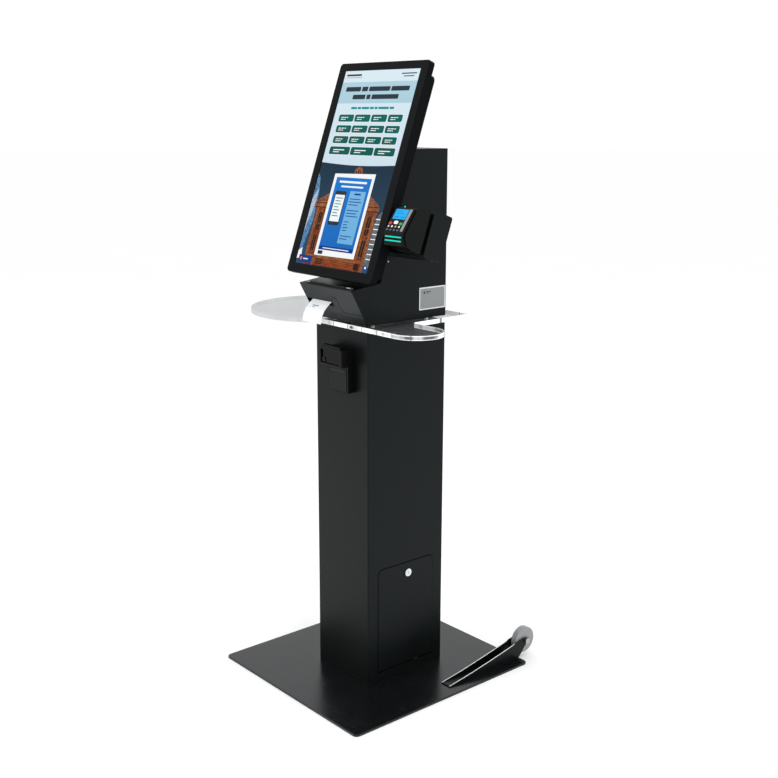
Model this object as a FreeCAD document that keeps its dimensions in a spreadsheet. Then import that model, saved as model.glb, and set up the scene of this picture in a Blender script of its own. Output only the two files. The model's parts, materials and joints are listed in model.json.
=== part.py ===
import FreeCAD, Part
import math
import os

# Self-service checkout kiosk, millimetres, +Z up.  The origin is the middle of
# the base plate's underside, +X the customer's right-hand side seen from the
# screen, -Y the side the customer stands on.

V = FreeCAD.Vector
R = FreeCAD.Rotation
P = FreeCAD.Placement
doc = FreeCAD.newDocument("kiosk")

# ------------------------------------------------------------ driving sizes
sheet = doc.addObject("Spreadsheet::Sheet", "Sizes")
CELLS = [
    ("base_width", 600.0), ("base_depth", 640.0), ("base_thick", 6.0), ("base_corner", 13.0),
    ("column_width", 220.0), ("column_front", -122.0), ("column_back", 152.5), ("wall", 2.0),
    ("shelf_bottom", 1003.5), ("shelf_thick", 12.0), ("bend_radius", 3.0),
    ("head_top", 1461.0), ("prow_tip_y", -176.5), ("prow_tip_z", 1111.0),
    ("screen_tilt", 19.6), ("screen_y", -160.7), ("screen_z", 1159.7),
    ("screen_width", 299.0), ("screen_height", 531.5), ("monitor_width", 358.0),
    ("monitor_low", -26.0), ("monitor_high", 553.5), ("monitor_corner", 11.0), ("bezel_depth", 17.0),
    ("head_offset", 90.0), ("door_low", 31.5), ("door_high", 332.0), ("door_left", -85.0),
    ("door_right", 116.0), ("door_corner", 16.0), ("lock_y", 22.0), ("lock_z", 302.0),
    ("anchor_x", 170.0), ("anchor_y", 220.0), ("anchor_radius", 6.0), ("gland_radius", 15.0),
    ("wheel_radius", 38.0), ("wheel_width", 22.0), ("wheel_x", 251.5), ("wheel_y", 348.5), ("wheel_z", 52.0),
    ("axle_radius", 5.0), ("key_travel", 1.2), ("paper_width", 80.0), ("roll_radius", 34.0),
    ("spindle_radius", 5.9), ("platen_radius", 7.0), ("plate_thick", 1.0),
    ("label_height", 61.0), ("label_depth", 95.0), ("bracket_end", 272.0),
]
for row, (alias, value) in enumerate(CELLS, start=1):
    sheet.set("A%d" % row, alias)
    sheet.set("B%d" % row, str(value))
    sheet.setAlias("B%d" % row, alias)
doc.recompute()
S = {alias: float(sheet.get(alias)) for alias, _ in CELLS}

SHELF_TOP = S["shelf_bottom"] + S["shelf_thick"]
MID_Y = (S["column_front"] + S["column_back"]) / 2.0
TILT = math.radians(S["screen_tilt"])
NODES = []


# ------------------------------------------------------------ small helpers
def bind(obj, **props):
    for name, expr in props.items():
        obj.setExpression(name.replace("__", "."), expr)


def keep(obj, label, placement=None):
    for other in doc.getObjectsByLabel(label):
        if other.Name != obj.Name:
            other.Label = label + "_blank"
    obj.Label = label
    if placement is not None:
        obj.Placement = placement
    NODES.append(obj)
    return obj


def box(name, sx, sy, sz, x=0.0, y=0.0, z=0.0, exprs=None):
    b = doc.addObject("Part::Box", name)
    b.Length, b.Width, b.Height = sx, sy, sz
    b.Placement = P(V(x, y, z), R())
    for prop, expr in (exprs or {}).items():
        b.setExpression(prop, expr)
    return b


def cyl(name, r, length, at, axis, expr=None):
    c = doc.addObject("Part::Cylinder", name)
    c.Radius, c.Height = r, length
    c.Placement = P(V(*at), R(V(0, 0, 1), V(*axis)))
    if expr:
        c.setExpression("Radius", expr)
    return c


def prism(name, n, across_flats, length, at, axis):
    p = doc.addObject("Part::Prism", name)
    p.Polygon = n
    p.Circumradius = across_flats / math.sqrt(3.0)
    p.Height = length
    p.Placement = P(V(*at), R(V(0, 0, 1), V(*axis)))
    return p


def fuse(name, *objs):
    f = doc.addObject("Part::MultiFuse", name)
    f.Shapes = list(objs)
    f.Refine = True
    return f


def cut(name, base, *tools):
    c = doc.addObject("Part::Cut", name)
    c.Base = base
    c.Tool = tools[0] if len(tools) == 1 else fuse(name + "_tools", *tools)
    c.Refine = True
    return c


def group(name, *objs):
    g = doc.addObject("Part::Compound", name)
    g.Links = list(objs)
    return g


def origin_plane(body, role):
    for feat in body.Origin.OriginFeatures:
        if feat.Role == role:
            return feat
    raise RuntimeError(role)


def new_sketch(body, role, name, offset=0.0):
    s = body.newObject("Sketcher::SketchObject", name)
    s.AttachmentSupport = [(origin_plane(body, role), "")]
    s.MapMode = "FlatFace"
    if offset:
        s.AttachmentOffset = P(V(0, 0, offset), R())
    return s


def outline(sketch, pts, radii=None):
    """Closed outline through pts with tangent arcs at the corners in radii."""
    import Sketcher
    n = len(pts)
    radii = radii or {}
    geo = []
    cuts = []
    for i, (x, y) in enumerate(pts):
        r = radii.get(i, 0.0)
        if r <= 0:
            cuts.append((V(x, y, 0), V(x, y, 0), None))
            continue
        a = V(pts[i - 1][0], pts[i - 1][1], 0)
        b = V(x, y, 0)
        c = V(pts[(i + 1) % n][0], pts[(i + 1) % n][1], 0)
        u = (a - b).normalize()
        w = (c - b).normalize()
        half = u.getAngle(w) / 2.0
        d = r / math.tan(half)
        bis = (u + w).normalize()
        centre = b + bis * (r / math.sin(half))
        mid = centre - bis * r
        cuts.append((b + u * d, b + w * d, mid))
    for i in range(n):
        start, end, mid = cuts[i]
        if mid is not None:
            geo.append(Part.Arc(start, mid, end))
        nxt = cuts[(i + 1) % n][0]
        if (nxt - end).Length > 1e-6:
            geo.append(Part.LineSegment(end, nxt))
    ids = sketch.addGeometry(geo, False)
    return ids


def rect_sketch(sketch, x0, y0, width_expr, height_expr, w, h, r=0.0):
    """Rectangle whose two sizes are sheet-driven dimensions."""
    import Sketcher
    p = [V(x0, y0, 0), V(x0 + w, y0, 0), V(x0 + w, y0 + h, 0), V(x0, y0 + h, 0)]
    ids = sketch.addGeometry([Part.LineSegment(p[i], p[(i + 1) % 4]) for i in range(4)], False)
    for i in range(4):
        sketch.addConstraint(Sketcher.Constraint("Coincident", ids[i], 2, ids[(i + 1) % 4], 1))
    sketch.addConstraint(Sketcher.Constraint("Horizontal", ids[0]))
    sketch.addConstraint(Sketcher.Constraint("Horizontal", ids[2]))
    sketch.addConstraint(Sketcher.Constraint("Vertical", ids[1]))
    sketch.addConstraint(Sketcher.Constraint("Vertical", ids[3]))
    sketch.addConstraint(Sketcher.Constraint("DistanceX", -1, 1, ids[0], 1, x0))
    sketch.addConstraint(Sketcher.Constraint("DistanceY", -1, 1, ids[0], 1, y0))
    cw = sketch.addConstraint(Sketcher.Constraint("DistanceX", ids[0], 1, ids[0], 2, w))
    ch = sketch.addConstraint(Sketcher.Constraint("DistanceY", ids[1], 1, ids[1], 2, h))
    sketch.renameConstraint(cw, "wide")
    sketch.renameConstraint(ch, "tall")
    if width_expr:
        sketch.setExpression("Constraints.wide", width_expr)
    if height_expr:
        sketch.setExpression("Constraints.tall", height_expr)


def pad(body, sketch, name, length, expr=None, reverse=False):
    p = body.newObject("PartDesign::Pad", name)
    p.Profile = sketch
    p.Length = length
    p.Reversed = reverse
    if expr:
        p.setExpression("Length", expr)
    sketch.Visibility = False
    return p


def pocket(body, sketch, name, length, reverse=False, through=False):
    before = body.Shape.Volume
    p = body.newObject("PartDesign::Pocket", name)
    p.Profile = sketch
    p.Reversed = reverse
    if through:
        p.Type = 1
        p.Length = 10.0
    else:
        p.Length = length
    doc.recompute()
    if not (p.Shape.Volume < before - 1e-3):
        p.Reversed = not reverse
        doc.recompute()
    if not (p.Shape.Volume < before - 1e-3):
        raise RuntimeError("pocket %s removes nothing" % name)
    return p


def extruded(name, role, offset, pts, length, radii=None, expr=None, reverse=False):
    """PartDesign body: one outline padded off an origin plane."""
    b = doc.addObject("PartDesign::Body", name)
    s = new_sketch(b, role, name + "_outline", offset)
    outline(s, pts, radii)
    pad(b, s, name + "_pad", length, expr, reverse)
    doc.recompute()
    return b


def side_solid(name, x0, length, pts, radii=None, expr=None):
    """Outline given as (y, z), padded from x0 towards +X."""
    return extruded(name, "YZ_Plane", x0, pts, length, radii, expr)


def revolved(name, pts):
    """Body turned about X from an (x, radius) outline in the XZ plane."""
    b = doc.addObject("PartDesign::Body", name)
    s = new_sketch(b, "XZ_Plane", name + "_section")
    outline(s, pts)
    r = b.newObject("PartDesign::Revolution", name + "_turn")
    r.Profile = s
    r.ReferenceAxis = (s, ["H_Axis"])
    r.Angle = 360.0
    s.Visibility = False
    doc.recompute()
    return b


def soft_edges(body, name, kind, size, test):
    """Fillet or chamfer on the edges of the body's tip that pass the test."""
    tip = body.Tip
    names = []
    for i, e in enumerate(tip.Shape.Edges, start=1):
        if test(e):
            names.append("Edge%d" % i)
    if not names:
        raise RuntimeError("no edge for " + name)
    f = body.newObject("PartDesign::" + kind, name)
    f.Base = (tip, names)
    if kind == "Fillet":
        f.Radius = size
    else:
        f.Size = size
    doc.recompute()
    return f


def straight(e):
    return e.Curve.TypeId == "Part::GeomLine"


def direction(e):
    d = e.Vertexes[-1].Point - e.Vertexes[0].Point
    return d.normalize()


# frames used by the tilted pieces: local y runs into the object, z up it
MONITOR = P(V(0, S["screen_y"], S["screen_z"]), R(V(1, 0, 0), -S["screen_tilt"]))
FACE_LEN = math.hypot(S["prow_tip_y"] - S["column_front"] + 1.0, S["prow_tip_z"] - SHELF_TOP)
FACE_DIR = ((S["prow_tip_y"] - S["column_front"] + 1.0) / FACE_LEN, (S["prow_tip_z"] - SHELF_TOP) / FACE_LEN)
FACE_ANGLE = math.degrees(math.atan2(-FACE_DIR[0], FACE_DIR[1]))
PROW = P(V(0, S["column_front"] - 1.0, SHELF_TOP), R(V(1, 0, 0), FACE_ANGLE))


def to_monitor(u, w):
    """(depth behind the glass, height up it) to world (y, z)."""
    return (S["screen_y"] + u * math.cos(TILT) + w * math.sin(TILT),
            S["screen_z"] - u * math.sin(TILT) + w * math.cos(TILT))


def to_face(n, s):
    """(depth behind the front face, height up it) to world (y, z)."""
    return (S["column_front"] - 1.0 + s * FACE_DIR[0] + n * FACE_DIR[1],
            SHELF_TOP + s * FACE_DIR[1] - n * FACE_DIR[0])


# ------------------------------------------------------------ base plate
bw, bd = S["base_width"], S["base_depth"]
base = doc.addObject("PartDesign::Body", "base_plate")
sk = new_sketch(base, "XY_Plane", "base_outline")
rect_sketch(sk, -bw / 2, -bd / 2, "Sizes.base_width", "Sizes.base_depth", bw, bd)
pad(base, sk, "base_pad", S["base_thick"], "Sizes.base_thick")
doc.recompute()
soft_edges(base, "base_corners", "Fillet", S["base_corner"],
           lambda e: straight(e) and abs(direction(e).z) > 0.9)
soft_edges(base, "base_rim", "Chamfer", 0.8,
           lambda e: all(abs(v.Point.z - S["base_thick"]) < 1e-6 for v in e.Vertexes))
sk = new_sketch(base, "XY_Plane", "base_holes", S["base_thick"])
for sx in (-1, 1):
    for sy in (-1, 1):
        sk.addGeometry(Part.Circle(V(sx * S["anchor_x"] / 2, MID_Y + sy * S["anchor_y"] / 2, 0), V(0, 0, 1), S["anchor_radius"]), False)
        sk.addGeometry(Part.Circle(V(sx * S["anchor_x"] / 2, MID_Y + sy * 60, 0), V(0, 0, 1), 4.2), False)
doc.recompute()
pocket(base, sk, "base_drilling", 20)
keep(base, "base_plate")

# ------------------------------------------------------------ column shell
cf, cb, cw = S["column_front"], S["column_back"], S["column_width"]
col = doc.addObject("PartDesign::Body", "column_shell")
sk = new_sketch(col, "XY_Plane", "column_outline", S["base_thick"])
rect_sketch(sk, -cw / 2, cf, "Sizes.column_width", "Sizes.column_back - Sizes.column_front", cw, cb - cf)
pad(col, sk, "column_pad", S["shelf_bottom"] - S["base_thick"], "Sizes.shelf_bottom - Sizes.base_thick")
doc.recompute()
soft_edges(col, "column_bends", "Fillet", S["bend_radius"], lambda e: straight(e) and abs(direction(e).z) > 0.9)
sk = new_sketch(col, "XY_Plane", "column_inside", S["base_thick"])
wl = S["wall"]
outline(sk, [(-cw / 2 + wl, cf + wl), (cw / 2 - wl, cf + wl), (cw / 2 - wl, cb - wl), (-cw / 2 + wl, cb - wl)],
        {0: 1.0, 1: 1.0, 2: 1.0, 3: 1.0})
doc.recompute()
pocket(col, sk, "column_hollow", 1200, reverse=True)
sk = new_sketch(col, "YZ_Plane", "door_opening", cw / 2 + 5)
outline(sk, [(S["door_left"] - 2.5, 28.5), (S["door_right"] + 0.5, 28.5), (S["door_right"] + 0.5, S["door_high"] + 2.5),
             (S["door_left"] - 2.5, S["door_high"] + 2.5)], {2: S["door_corner"] + 1.0, 3: S["door_corner"] + 2.5})
doc.recompute()
pocket(col, sk, "door_cutout", 20)
sk = new_sketch(col, "XZ_Plane", "cable_entry_outline", -(cb + 5))
sk.addGeometry(Part.Circle(V(0, 90, 0), V(0, 0, 1), S["gland_radius"] + 1.0), False)
doc.recompute()
pocket(col, sk, "cable_entry", 20)
strike = box("door_strike", 9.4, 44, 6, cw / 2 - wl - 9.4, S["lock_y"] - 22, S["door_high"] + 3.5)
lug_a = cut("hinge_lug_front", box("lug_a", 9.0, 5.0, 10.0, cw / 2 - wl - 7.5, S["door_left"] - 7.6, 29.5),
            cyl("lug_a_hole", 2.0, 20, (cw / 2 - 4.2, S["door_left"] - 15, 34.0), (0, 1, 0)))
lug_b = cut("hinge_lug_rear", box("lug_b", 9.0, 5.0, 10.0, cw / 2 - wl - 7.5, S["door_right"] + 2.0, 29.5),
            cyl("lug_b_hole", 2.0, 20, (cw / 2 - 4.2, S["door_right"] - 5, 34.0), (0, 1, 0)))
keep(fuse("column_with_lugs", col, strike, lug_a, lug_b), "column_shell")

# foot frame welded inside the column and bolted to the base plate
foot = doc.addObject("PartDesign::Body", "column_foot_frame")
sk = new_sketch(foot, "XY_Plane", "foot_outline", S["base_thick"])
rect_sketch(sk, -cw / 2 + wl, cf + wl, "Sizes.column_width - 2 * Sizes.wall",
            "Sizes.column_back - Sizes.column_front - 2 * Sizes.wall", cw - 2 * wl, cb - cf - 2 * wl)
pad(foot, sk, "foot_pad", 5.0)
doc.recompute()
soft_edges(foot, "foot_corners", "Fillet", 1.2, lambda e: straight(e) and abs(direction(e).z) > 0.9)
sk = new_sketch(foot, "XY_Plane", "foot_holes", S["base_thick"])
outline(sk, [(-58, MID_Y - 92), (58, MID_Y - 92), (58, MID_Y + 92), (-58, MID_Y + 92)], {i: 12.0 for i in range(4)})
for sx in (-1, 1):
    for sy in (-1, 1):
        sk.addGeometry(Part.Circle(V(sx * S["anchor_x"] / 2, MID_Y + sy * S["anchor_y"] / 2, 0), V(0, 0, 1), S["anchor_radius"]), False)
        sk.addGeometry(Part.Circle(V(sx * S["anchor_x"] / 2, MID_Y + sy * 60, 0), V(0, 0, 1), 4.2), False)
doc.recompute()
pocket(foot, sk, "foot_window", 20, reverse=True)
keep(foot, "column_foot_frame")

bolts = []
for i, (sx, sy) in enumerate([(-1, -1), (1, -1), (1, 1), (-1, 1)]):
    x, y = sx * S["anchor_x"] / 2, MID_Y + sy * 60
    bolts.append(fuse("foot_bolt_%d" % (i + 1),
                      cyl("foot_shank_%d" % (i + 1), 4.0, 10.0, (x, y, 1.0), (0, 0, 1)),
                      prism("foot_head_%d" % (i + 1), 6, 13.0, 5.3, (x, y, 11.0), (0, 0, 1))))
keep(group("foot_bolts", *bolts), "column_foot_bolts")

# plate that closes the column under the shelf
top = doc.addObject("PartDesign::Body", "column_top_plate")
sk = new_sketch(top, "XY_Plane", "top_outline", S["shelf_bottom"] - 4.0)
rect_sketch(sk, -cw / 2 + wl, cf + wl, "Sizes.column_width - 2 * Sizes.wall",
            "Sizes.column_back - Sizes.column_front - 2 * Sizes.wall", cw - 2 * wl, cb - cf - 2 * wl)
pad(top, sk, "top_pad", 4.0)
doc.recompute()
soft_edges(top, "top_corners", "Fillet", 1.2, lambda e: straight(e) and abs(direction(e).z) > 0.9)
SHELF_BOLTS = [(sx * 80.0, MID_Y + sy * 95.0) for sx, sy in ((-1, -1), (1, -1), (1, 1), (-1, 1))]
sk = new_sketch(top, "XY_Plane", "top_holes", S["shelf_bottom"])
sk.addGeometry(Part.Circle(V(0, MID_Y, 0), V(0, 0, 1), 30.0), False)
for x, y in SHELF_BOLTS:
    sk.addGeometry(Part.Circle(V(x, y, 0), V(0, 0, 1), 4.2), False)
doc.recompute()
pocket(top, sk, "top_drilling", 20)
keep(top, "column_top_plate")

# ------------------------------------------------------------ clear shelf
shelf = doc.addObject("PartDesign::Body", "shelf_panel")
sk = new_sketch(shelf, "XY_Plane", "shelf_outline", S["shelf_bottom"])
cx, cy, cr = -225.0, -5.0, 208.0          # round tray on the left
rx, ry, rr = 237.0, -70.0, 72.0           # rounded ledge on the right
fy = ry - rr                              # straight front edge
fr = 70.0                                 # hollow blend from tray to front edge
fx = cx + math.sqrt((cr + fr) ** 2 - (fy - fr - cy) ** 2)
fc = V(fx, fy - fr, 0)
C = V(cx, cy, 0)
blend = C + (fc - C).normalize() * cr
by = 203.0
tan_x = 40.0
geo = [
    Part.LineSegment(V(fx, fy, 0), V(rx, fy, 0)),
    Part.Arc(V(rx, fy, 0), V(rx + rr, ry, 0), V(rx, ry + rr, 0)),
    Part.LineSegment(V(rx, ry + rr, 0), V(154, ry + rr, 0)),
    Part.Arc(V(154, ry + rr, 0), V(154 - 10 * math.sin(math.radians(45)), ry + rr + 10 - 10 * math.cos(math.radians(45)), 0), V(144, ry + rr + 10, 0)),
    Part.LineSegment(V(144, ry + rr + 10, 0), V(137, 204, 0)),
    Part.Arc(V(137, 204, 0), V(134.5, 209.6, 0), V(129, 212, 0)),
    Part.LineSegment(V(129, 212, 0), V(40, 212, 0)),
    Part.LineSegment(V(40, 212, 0), V(cx, cy + cr, 0)),
    Part.Arc(V(cx, cy + cr, 0), V(cx - cr, cy, 0), blend),
    Part.Arc(blend, fc + (((blend + V(fx, fy, 0)) * 0.5) - fc).normalize() * fr, V(fx, fy, 0)),
]
sk.addGeometry(geo, False)
pad(shelf, sk, "shelf_pad", S["shelf_thick"], "Sizes.shelf_thick")
doc.recompute()
sk = new_sketch(shelf, "XY_Plane", "shelf_holes", SHELF_TOP)
sk.addGeometry(Part.Circle(V(0, MID_Y, 0), V(0, 0, 1), 30.0), False)
for x, y in SHELF_BOLTS:
    sk.addGeometry(Part.Circle(V(x, y, 0), V(0, 0, 1), 4.5), False)
doc.recompute()
pocket(shelf, sk, "shelf_drilling", 30)
keep(shelf, "shelf_panel")

parts = []
for i, (x, y) in enumerate(SHELF_BOLTS):
    parts.append(fuse("shelf_bolt_%d" % (i + 1),
                      cyl("shelf_shank_%d" % (i + 1), 4.0, 25.5, (x, y, S["shelf_bottom"] - 11.5), (0, 0, 1)),
                      prism("shelf_head_%d" % (i + 1), 6, 13.0, 5.3, (x, y, SHELF_TOP + 2.0), (0, 0, 1))))
    parts.append(cut("shelf_nut_%d" % (i + 1),
                     prism("shelf_nut_hex_%d" % (i + 1), 6, 13.0, 6.5, (x, y, S["shelf_bottom"] - 10.5), (0, 0, 1)),
                     cyl("shelf_nut_hole_%d" % (i + 1), 4.0, 20, (x, y, S["shelf_bottom"] - 15), (0, 0, 1))))
keep(group("shelf_bolts", *parts), "shelf_bolts")

# ------------------------------------------------------------ head
hb = S["column_front"] - 1.0
slant_low = to_monitor(S["head_offset"], 0.0)
tan_t = math.tan(TILT)


def slant_y(z, off=0.0):
    """y of the sloping front of the head at height z, off behind its face."""
    return S["screen_y"] + (S["head_offset"] + off) / math.cos(TILT) + (z - S["screen_z"]) * tan_t


ht, hback = S["head_top"], S["column_back"]
prow_back_z = 1123.0
profile = [(hb, SHELF_TOP), (S["prow_tip_y"], S["prow_tip_z"]), (slant_y(prow_back_z), prow_back_z),
           (slant_y(ht), ht), (hback, ht), (hback, SHELF_TOP)]
head = doc.addObject("PartDesign::Body", "head_shell")
sk = new_sketch(head, "YZ_Plane", "head_outline", -cw / 2)
outline(sk, profile, {3: 2.0, 4: 2.0})
pad(head, sk, "head_pad", cw, "Sizes.column_width")
doc.recompute()
# hollow, open below, at the back and over the whole prow face
top_dir = V(0, slant_y(prow_back_z) - S["prow_tip_y"], prow_back_z - S["prow_tip_z"]).normalize()
lid = 12.5
t0 = (S["prow_tip_y"] + top_dir.y * lid, S["prow_tip_z"] + top_dir.z * lid)
inner = [(hb - 40, SHELF_TOP - 5), (S["prow_tip_y"] - 40, t0[1] + 30), (t0[0], t0[1] + 30), (t0[0] + 0.4, t0[1] - wl),
         (slant_y(prow_back_z, wl) , prow_back_z - wl), (slant_y(ht - wl, wl), ht - wl), (hback + 5, ht - wl), (hback + 5, SHELF_TOP - 5)]
sk = new_sketch(head, "YZ_Plane", "head_inside", -cw / 2 + wl)
outline(sk, inner)
doc.recompute()
pocket(head, sk, "head_hollow", cw - 2 * wl, reverse=True)
sk = new_sketch(head, "YZ_Plane", "pinpad_cable_outline", cw / 2 + 5)
cyy, cyz = to_monitor(108.0, 130.0)
sk.addGeometry(Part.Circle(V(cyy, cyz, 0), V(0, 0, 1), 12.0), False)
doc.recompute()
pocket(head, sk, "pinpad_cable_hole", 12)
hole = cyl("screen_cable_tool", 20.0, 40.0, (0, *to_monitor(S["head_offset"] - 15, 263.0)), (0, math.cos(TILT), -math.sin(TILT)))
tabs = []
for i, z in enumerate((1080.0, 1236.0, 1392.0)):
    tabs.append(box("rear_tab_a_%d" % i, 2.0, 4.5, 24.0, -cw / 2, hback - 2.0, z))
    tabs.append(box("rear_tab_b_%d" % i, 6.5, 1.5, 24.0, -cw / 2, hback + 0.6, z))
    tabs.append(cut("rear_knuckle_%d" % i,
                    cyl("rear_knuckle_tube_%d" % i, 2.6, 24.0, (-103.5, hback + 2.9, z), (0, 0, 1)),
                    cyl("rear_knuckle_bore_%d" % i, 1.5, 30.0, (-103.5, hback + 2.9, z - 3), (0, 0, 1))))
rear_catch = box("rear_strike", 8.5, 3.0, 44.0, cw / 2 - wl - 8.5, hback - 8.6, 1218.0)
rear_pin = cyl("rear_door_pin_rod", 1.5, 336.0, (-103.5, hback + 2.9, 1080.0), (0, 0, 1))
tray = box("equipment_tray", 216.0, 2.0, 190.0, -108.0, 56.0, 1250.0, {"Length": "Sizes.column_width - 2 * Sizes.wall"})
keep(fuse("head_with_tabs", cut("head_cut", head, hole), rear_catch, tray, rear_pin, *tabs), "head_shell")

hbase = doc.addObject("PartDesign::Body", "head_base_plate")
sk = new_sketch(hbase, "XY_Plane", "head_base_outline", SHELF_TOP)
rect_sketch(sk, -cw / 2 + wl, hb + 5.0, "Sizes.column_width - 2 * Sizes.wall", None, cw - 2 * wl, hback - 3.0 - hb - 5.0)
pad(hbase, sk, "head_base_pad", 2.0, "Sizes.wall")
doc.recompute()
sk = new_sketch(hbase, "XY_Plane", "head_base_holes", SHELF_TOP + 2.0)
sk.addGeometry(Part.Circle(V(0, MID_Y, 0), V(0, 0, 1), 28.0), False)
for x, y in SHELF_BOLTS:
    sk.addGeometry(Part.Circle(V(x, y, 0), V(0, 0, 1), 4.2), False)
doc.recompute()
pocket(hbase, sk, "head_base_drilling", 10)
keep(hbase, "head_base_plate")

# rear service door, hung on a pin behind its left edge
rear_leaf = box("rear_leaf", 214.6, 2.0, 436.0, -107.3, hback - 2.0, SHELF_TOP + 4.0)
rear_bits = []
for i, z in enumerate((1106.0, 1262.0)):
    rear_bits.append(cut("rear_door_knuckle_%d" % i,
                         fuse("rear_door_roll_%d" % i,
                              cyl("rear_door_tube_%d" % i, 2.6, 120.0, (-103.5, hback + 2.9, z + 3), (0, 0, 1)),
                              box("rear_door_web_%d" % i, 5.0, 1.6, 120.0, -103.5, hback - 0.2, z + 3)),
                         cyl("rear_door_bore_%d" % i, 1.8, 140.0, (-103.5, hback + 2.9, z - 7), (0, 0, 1))))
rear_hole = cyl("rear_lock_hole", 9.6, 20, (88.0, hback - 10, 1240.0), (0, 1, 0))
keep(cut("rear_door_cut", fuse("rear_door_blank", rear_leaf, *rear_bits), rear_hole), "head_rear_door")
keep(cut("rear_lock_case",
         fuse("rear_lock_blank", cyl("rear_lock_flange", 11.0, 3.0, (88.0, hback, 1240.0), (0, 1, 0)),
              cyl("rear_lock_barrel", 9.4, 9.0, (88.0, hback - 9.0, 1240.0), (0, 1, 0))),
         cyl("rear_lock_bore", 6.35, 30.0, (88.0, hback - 15, 1240.0), (0, 1, 0))), "rear_lock_body")
keep(cut("rear_plug_cut",
         fuse("rear_plug_blank", cyl("rear_plug_rod", 6.0, 13.6, (88.0, hback - 10.2, 1240.0), (0, 1, 0)),
              box("rear_plug_cam", 12.0, 2.4, 24.0, 82.0, hback - 12.6, 1222.0)),
         box("rear_keyway", 1.4, 6.0, 8.0, 87.3, hback - 0.6, 1236.0)), "rear_lock_plug")

# ------------------------------------------------------------ prow panels
low = extruded("prow_lower_panel", "XZ_Plane", 0,
               [(-107.4, 1.0), (107.4, 1.0), (107.4, 31.4), (25.4, 31.4), (25.4, 77.0), (12.5, 77.0), (2.0, 60.0), (2.0, 46.0), (-107.4, 46.0)],
               2.0, {3: 4.0, 6: 3.0, 7: 3.0}, "Sizes.wall", reverse=True)
keep(low, "prow_lower_panel", PROW)

cover_face = extruded("cover_face", "XZ_Plane", 0,
                      [(-107.4, 61.6), (1.6, 61.6), (11.8, 78.4), (26.8, 78.4), (26.8, 32.8), (107.4, 32.8), (107.4, FACE_LEN), (-107.4, FACE_LEN)],
                      2.0, {1: 3.0, 2: 3.0, 4: 4.0}, "Sizes.wall", reverse=True)
cover_face.Placement = PROW
flange_angle = math.degrees(math.atan2(top_dir.z, top_dir.y))
flange = box("cover_flange", 214.8, lid - 0.6, 2.0)
flange.Placement = P(V(-107.4, S["prow_tip_y"], S["prow_tip_z"]), R(V(1, 0, 0), flange_angle)).multiply(P(V(0, 0, -2.0), R()))
# hinge line stands 2.6 above the prow's upper face, at the rear of the cover
TOPF = P(V(0, S["prow_tip_y"], S["prow_tip_z"]), R(V(1, 0, 0), flange_angle))
hinge_pt = TOPF.multVec(V(0, lid, 2.6))
hinge_y, hinge_z = hinge_pt.y, hinge_pt.z


def on_top(name, x0, lx, y0, ly, z0, lz):
    b = box(name, lx, ly, lz)
    b.Placement = TOPF.multiply(P(V(x0, y0, z0), R()))
    return b


bar = cut("cover_knuckle",
          fuse("cover_knuckle_blank", cyl("cover_knuckle_tube", 2.2, 150.0, (-75.0, hinge_y, hinge_z), (1, 0, 0)),
               on_top("cover_web_upper", -75.0, 150.0, 8.5, lid - 8.5, 0.4, 1.8), on_top("cover_web_lower", -75.0, 150.0, 8.0, lid - 8.6, -0.4, 1.4)),
          cyl("cover_knuckle_bore", 1.5, 160.0, (-80.0, hinge_y, hinge_z), (1, 0, 0)))
keep(fuse("printer_cover_all", cover_face, flange, bar), "printer_cover")
pin_ends = [cyl("cover_pin_rod", 1.2, 184.0, (-92.0, hinge_y, hinge_z), (1, 0, 0))]
for i, x in enumerate((-92.0, 77.0)):
    pin_ends.append(cyl("cover_pin_eye_%d" % i, 2.2, 15.0, (x, hinge_y, hinge_z), (1, 0, 0)))
    pin_ends.append(on_top("cover_pin_foot_%d" % i, x, 15.0, lid + 0.3, 9.0, 0.0, 1.6))
keep(fuse("cover_hinge_fixed", *pin_ends), "printer_cover_hinge")

# ------------------------------------------------------------ receipt printer
cheek_pts = [(-112.0, SHELF_TOP + 2.0), to_face(6.0, 22.0), to_face(6.0, 84.0), (-118.0, 1103.0), (2.0, 1103.0), (2.0, SHELF_TOP + 2.0)]
SPY, SPZ = -44.0, 1060.0
PLY, PLZ = to_face(16.0, 67.6)
cheeks = [side_solid("cheek_left", -90.0, 2.5, cheek_pts), side_solid("cheek_right", 2.5, 2.5, cheek_pts),
          box("printer_floor", 95.0, 112.0, 2.0, -90.0, -111.0, SHELF_TOP + 2.0),
          box("printer_tie", 95.0, 12.0, 3.0, -90.0, -12.0, 1094.0)]
keep(cut("printer_chassis_cut", fuse("printer_frame", *cheeks),
         cyl("spindle_holes", 5.9, 110.0, (-100.0, SPY, SPZ), (1, 0, 0), "Sizes.spindle_radius"),
         cyl("bolt_head_clearance", 9.5, 12.0, (SHELF_BOLTS[0][0], SHELF_BOLTS[0][1], SHELF_TOP), (0, 0, 1)),
         cyl("platen_holes", 3.35, 110.0, (-100.0, PLY, PLZ), (1, 0, 0))), "printer_chassis")
keep(cyl("spindle_rod", 5.9, 95.0, (-90.0, SPY, SPZ), (1, 0, 0), "Sizes.spindle_radius"), "paper_spindle")
roll = revolved("paper_roll", [(-82.5, 6.25), (-2.5, 6.25), (-2.5, 34.0), (-82.5, 34.0)])
keep(roll, "paper_roll", P(V(0, SPY, SPZ), R()))
platen = revolved("platen_roller", [(-92.0, 0.0), (7.0, 0.0), (7.0, 3.0), (1.0, 3.0), (1.0, 7.0), (-86.0, 7.0), (-86.0, 3.0), (-92.0, 3.0)])
keep(platen, "platen_roller", P(V(0, PLY, PLZ), R()))
hd = box("print_head_block", 84.0, 16.0, 7.5, exprs={"Length": "Sizes.paper_width + 4"})
keep(hd, "print_head", PROW.multiply(P(V(-84.5, 8.0, 51.8), R())))
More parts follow.
